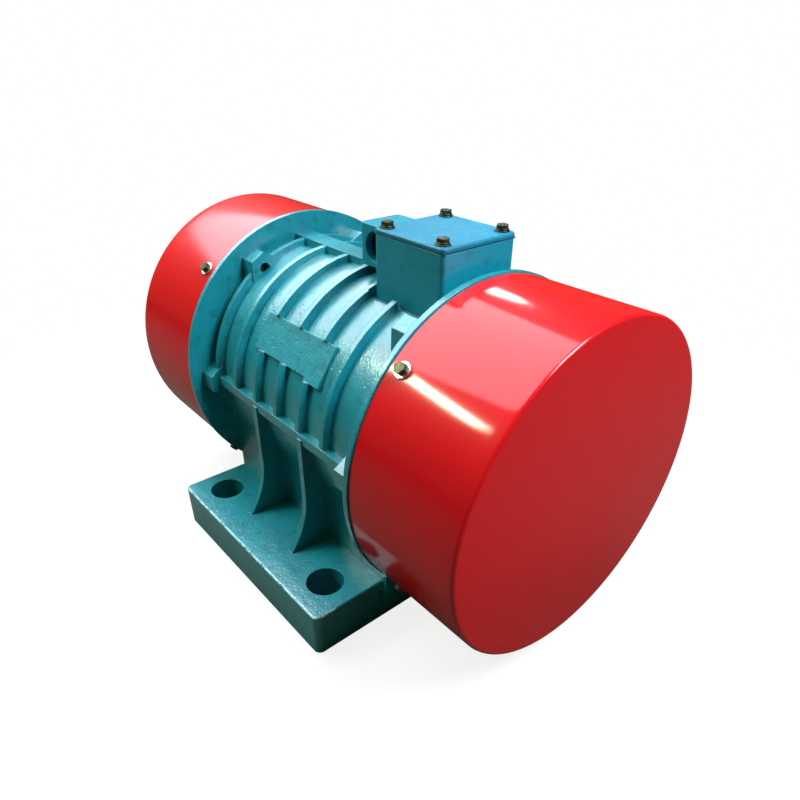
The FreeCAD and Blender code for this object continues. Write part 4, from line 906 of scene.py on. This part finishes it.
@dataclass
class Drive:
    """Everything on the shaft, the bearings that carry it, and the stator round it."""

    turned: Sequence[str] = ("shaft", "rotor_key", "weight_keys", "shaft_end_rings")
    plated: Sequence[str] = ("fixed_clamp_bolts", "fixed_clamp_nuts", "bearing_cap_screws")
    weight_edge_mm: float = 0.6

    def build(self) -> None:
        """Dress the turning parts and the bearings of both ends."""
        for node in self.turned:
            dress_node(node, TURNED)
        for node in self.plated:
            dress_node(node, ZINC)
        dress_node("stator_core", LAMINATED)
        dress_node("rotor_core", LAMINATED)
        dress_node("stator_winding", WOUND_WIRE)
        dress_node("rotor_cage", DIE_CAST)
        for side in Side:
            self.build_end(side.word)

    def build_end(self, word: str) -> None:
        """Dress one end's bearing, caps and weights."""
        for part in ("outer_ring", "inner_ring", "rollers"):
            dress_node(f"bearing_{part}_{word}", GROUND)
        dress_node(f"bearing_cage_{word}", BRASS)
        for part in ("inner_bearing_cap", "outer_bearing_cap"):
            dress_node(f"{part}_{word}", GREY_IRON)
        dress_node(f"shaft_seal_{word}", SEAL_RUBBER)
        dress_node(f"spacer_ring_{word}", TURNED)
        for part in ("fixed_weight", "adjustable_weight"):
            soften_node(f"{part}_{word}", FLAME_CUT, self.weight_edge_mm)
        for part in ("adjustable_clamp_bolt", "adjustable_clamp_nut"):
            dress_node(f"{part}_{word}", ZINC)


# ---------------------------------------------------------------- studio


class LampShape(Enum):
    """The outline of a lamp. The value is Blender's word for it."""

    SQUARED = "RECTANGLE"
    ROUNDED = "ELLIPSE"


@dataclass
class AreaLamp:
    """A soft box: where it stands, what it points at, its size and its power.

    Its first side follows the line `along`, as far as that line lies in the lamp's plane.
    """

    name: str
    place: tuple[float, float, float]
    aim: tuple[float, float, float]
    size: tuple[float, float]
    watts: float
    colour: str = "#ffffff"
    along: tuple[float, float, float] = (1.0, 0.0, 0.0)
    shape: LampShape = LampShape.SQUARED

    def build(self) -> None:
        """Hang the lamp, turn it to its aim, and lay its first side along the given line."""
        data = bpy.data.lights.new(self.name, "AREA")
        data.shape = self.shape.value
        data.size, data.size_y = self.size
        data.energy = self.watts
        data.color = linear(self.colour)[:3]
        lamp = bpy.data.objects.new(self.name, data)
        back = (Vector(self.place) - Vector(self.aim)).normalized()
        first = Vector(self.along)
        first = (first - back * first.dot(back)).normalized()
        turn = Matrix((first, back.cross(first), back)).transposed().to_4x4()
        lamp.matrix_world = Matrix.Translation(self.place) @ turn
        bpy.context.scene.collection.objects.link(lamp)


@dataclass
class Studio:
    """Camera, white paper, soft lamps and an even room."""

    azimuth: float = 48.682
    elevation: float = 33.153
    roll: float = 0.695
    distance: float = 0.5016
    target: tuple[float, float, float] = (0.02979, 0.0, 0.07162)
    lens: float = 28.731
    shift: tuple[float, float] = (-0.01096, 0.06608)
    sensor_mm: float = 36.0
    clip: Band = (0.01, 50.0)
    paper_half: float = 6.0
    room_light: float = 0.12
    room_colour: str = "#d2ee98"
    lamps: list[AreaLamp] = field(default_factory=lambda: [
        AreaLamp(
            "overhead_panel", (-0.70, -0.02, 1.20), (0.0, 0.0, 0.15), (1.5, 1.25), 38.0, "#e6f4ff"
        ),
        AreaLamp(
            "strip_light", (-0.43, -0.54, 0.715), (0.14, -0.08, 0.20), (0.24, 0.065), 3.6,
            "#f6ffdc", along=(0.126, -0.097, 0.0),
        ),
        AreaLamp(
            "small_window", (-0.437, 0.517, 0.693), (0.12, -0.02, 0.22), (0.12, 0.10), 0.8,
            shape=LampShape.ROUNDED,
        ),
        AreaLamp(
            "end_fill", (0.50, 0.16, 0.78), (0.1, 0.0, 0.16), (0.4, 0.3), 11.5, "#f2f8ff"
        ),
    ])

    def build(self) -> None:
        """Set the stage."""
        self.add_camera()
        self.add_paper()
        self.add_room()
        for lamp in self.lamps:
            lamp.build()
        bpy.context.scene.view_settings.view_transform = "Standard"

    def add_camera(self) -> None:
        """Stand the camera `distance` from its target, on the given bearing, height and roll."""
        bearing, height, roll = map(math.radians, (self.azimuth, self.elevation, self.roll))
        back = Vector((
            math.sin(bearing) * math.cos(height),
            -math.cos(bearing) * math.cos(height),
            math.sin(height),
        ))
        level = Vector((math.cos(bearing), math.sin(bearing), 0.0))
        upright = back.cross(level)
        right = math.cos(roll) * level + math.sin(roll) * upright
        up = math.cos(roll) * upright - math.sin(roll) * level
        data = bpy.data.cameras.new("camera")
        data.lens = self.lens
        data.sensor_width = self.sensor_mm
        data.shift_x, data.shift_y = self.shift
        data.clip_start, data.clip_end = self.clip
        camera = bpy.data.objects.new("camera", data)
        turn = Matrix((right, up, back)).transposed().to_4x4()
        spot = Vector(self.target) + back * self.distance
        camera.matrix_world = Matrix.Translation(spot) @ turn
        bpy.context.scene.collection.objects.link(camera)
        bpy.context.scene.camera = camera

    def add_paper(self) -> None:
        """Roll out the paper: a flat square on the plane the foot stands on."""
        span = np.array([-self.paper_half, self.paper_half])
        x, y = np.meshgrid(span, span, indexing="ij")
        paper = link_mesh(
            "paper_floor",
            grid_mesh("paper_floor", np.stack([x, y, np.zeros_like(x)], -1)),
        )
        paper.data.materials.append(PAPER.material())

    def add_room(self) -> None:
        """Light the room evenly, and show plain white to the camera."""
        world = bpy.data.worlds.new("even_room")
        bpy.context.scene.world = world
        world.use_nodes = True
        tree = world.node_tree
        tree.nodes.clear()
        path = tree.nodes.new("ShaderNodeLightPath")
        lit = add_node(
            tree, "ShaderNodeBackground",
            {"Color": linear(self.room_colour), "Strength": self.room_light},
        )
        seen = add_node(tree, "ShaderNodeBackground", {"Color": WHITE, "Strength": 1.0})
        both = add_node(
            tree, "ShaderNodeMixShader", {0: path.outputs["Is Camera Ray"], 1: lit, 2: seen}
        )
        output = tree.nodes.new("ShaderNodeOutputWorld")
        tree.links.new(both, output.inputs["Surface"])


def main() -> None:
    """Build the studio and the motor's sub-assemblies in order."""
    logging.basicConfig(level=logging.INFO, format="%(name)s: %(message)s")
    Studio().build()
    MotorHousing().build()
    for side in Side:
        DrumCover(side).build()
    CoverFixings().build()
    TerminalBox().build()
    Drive().build()


if __name__ == "__main__":
    main()
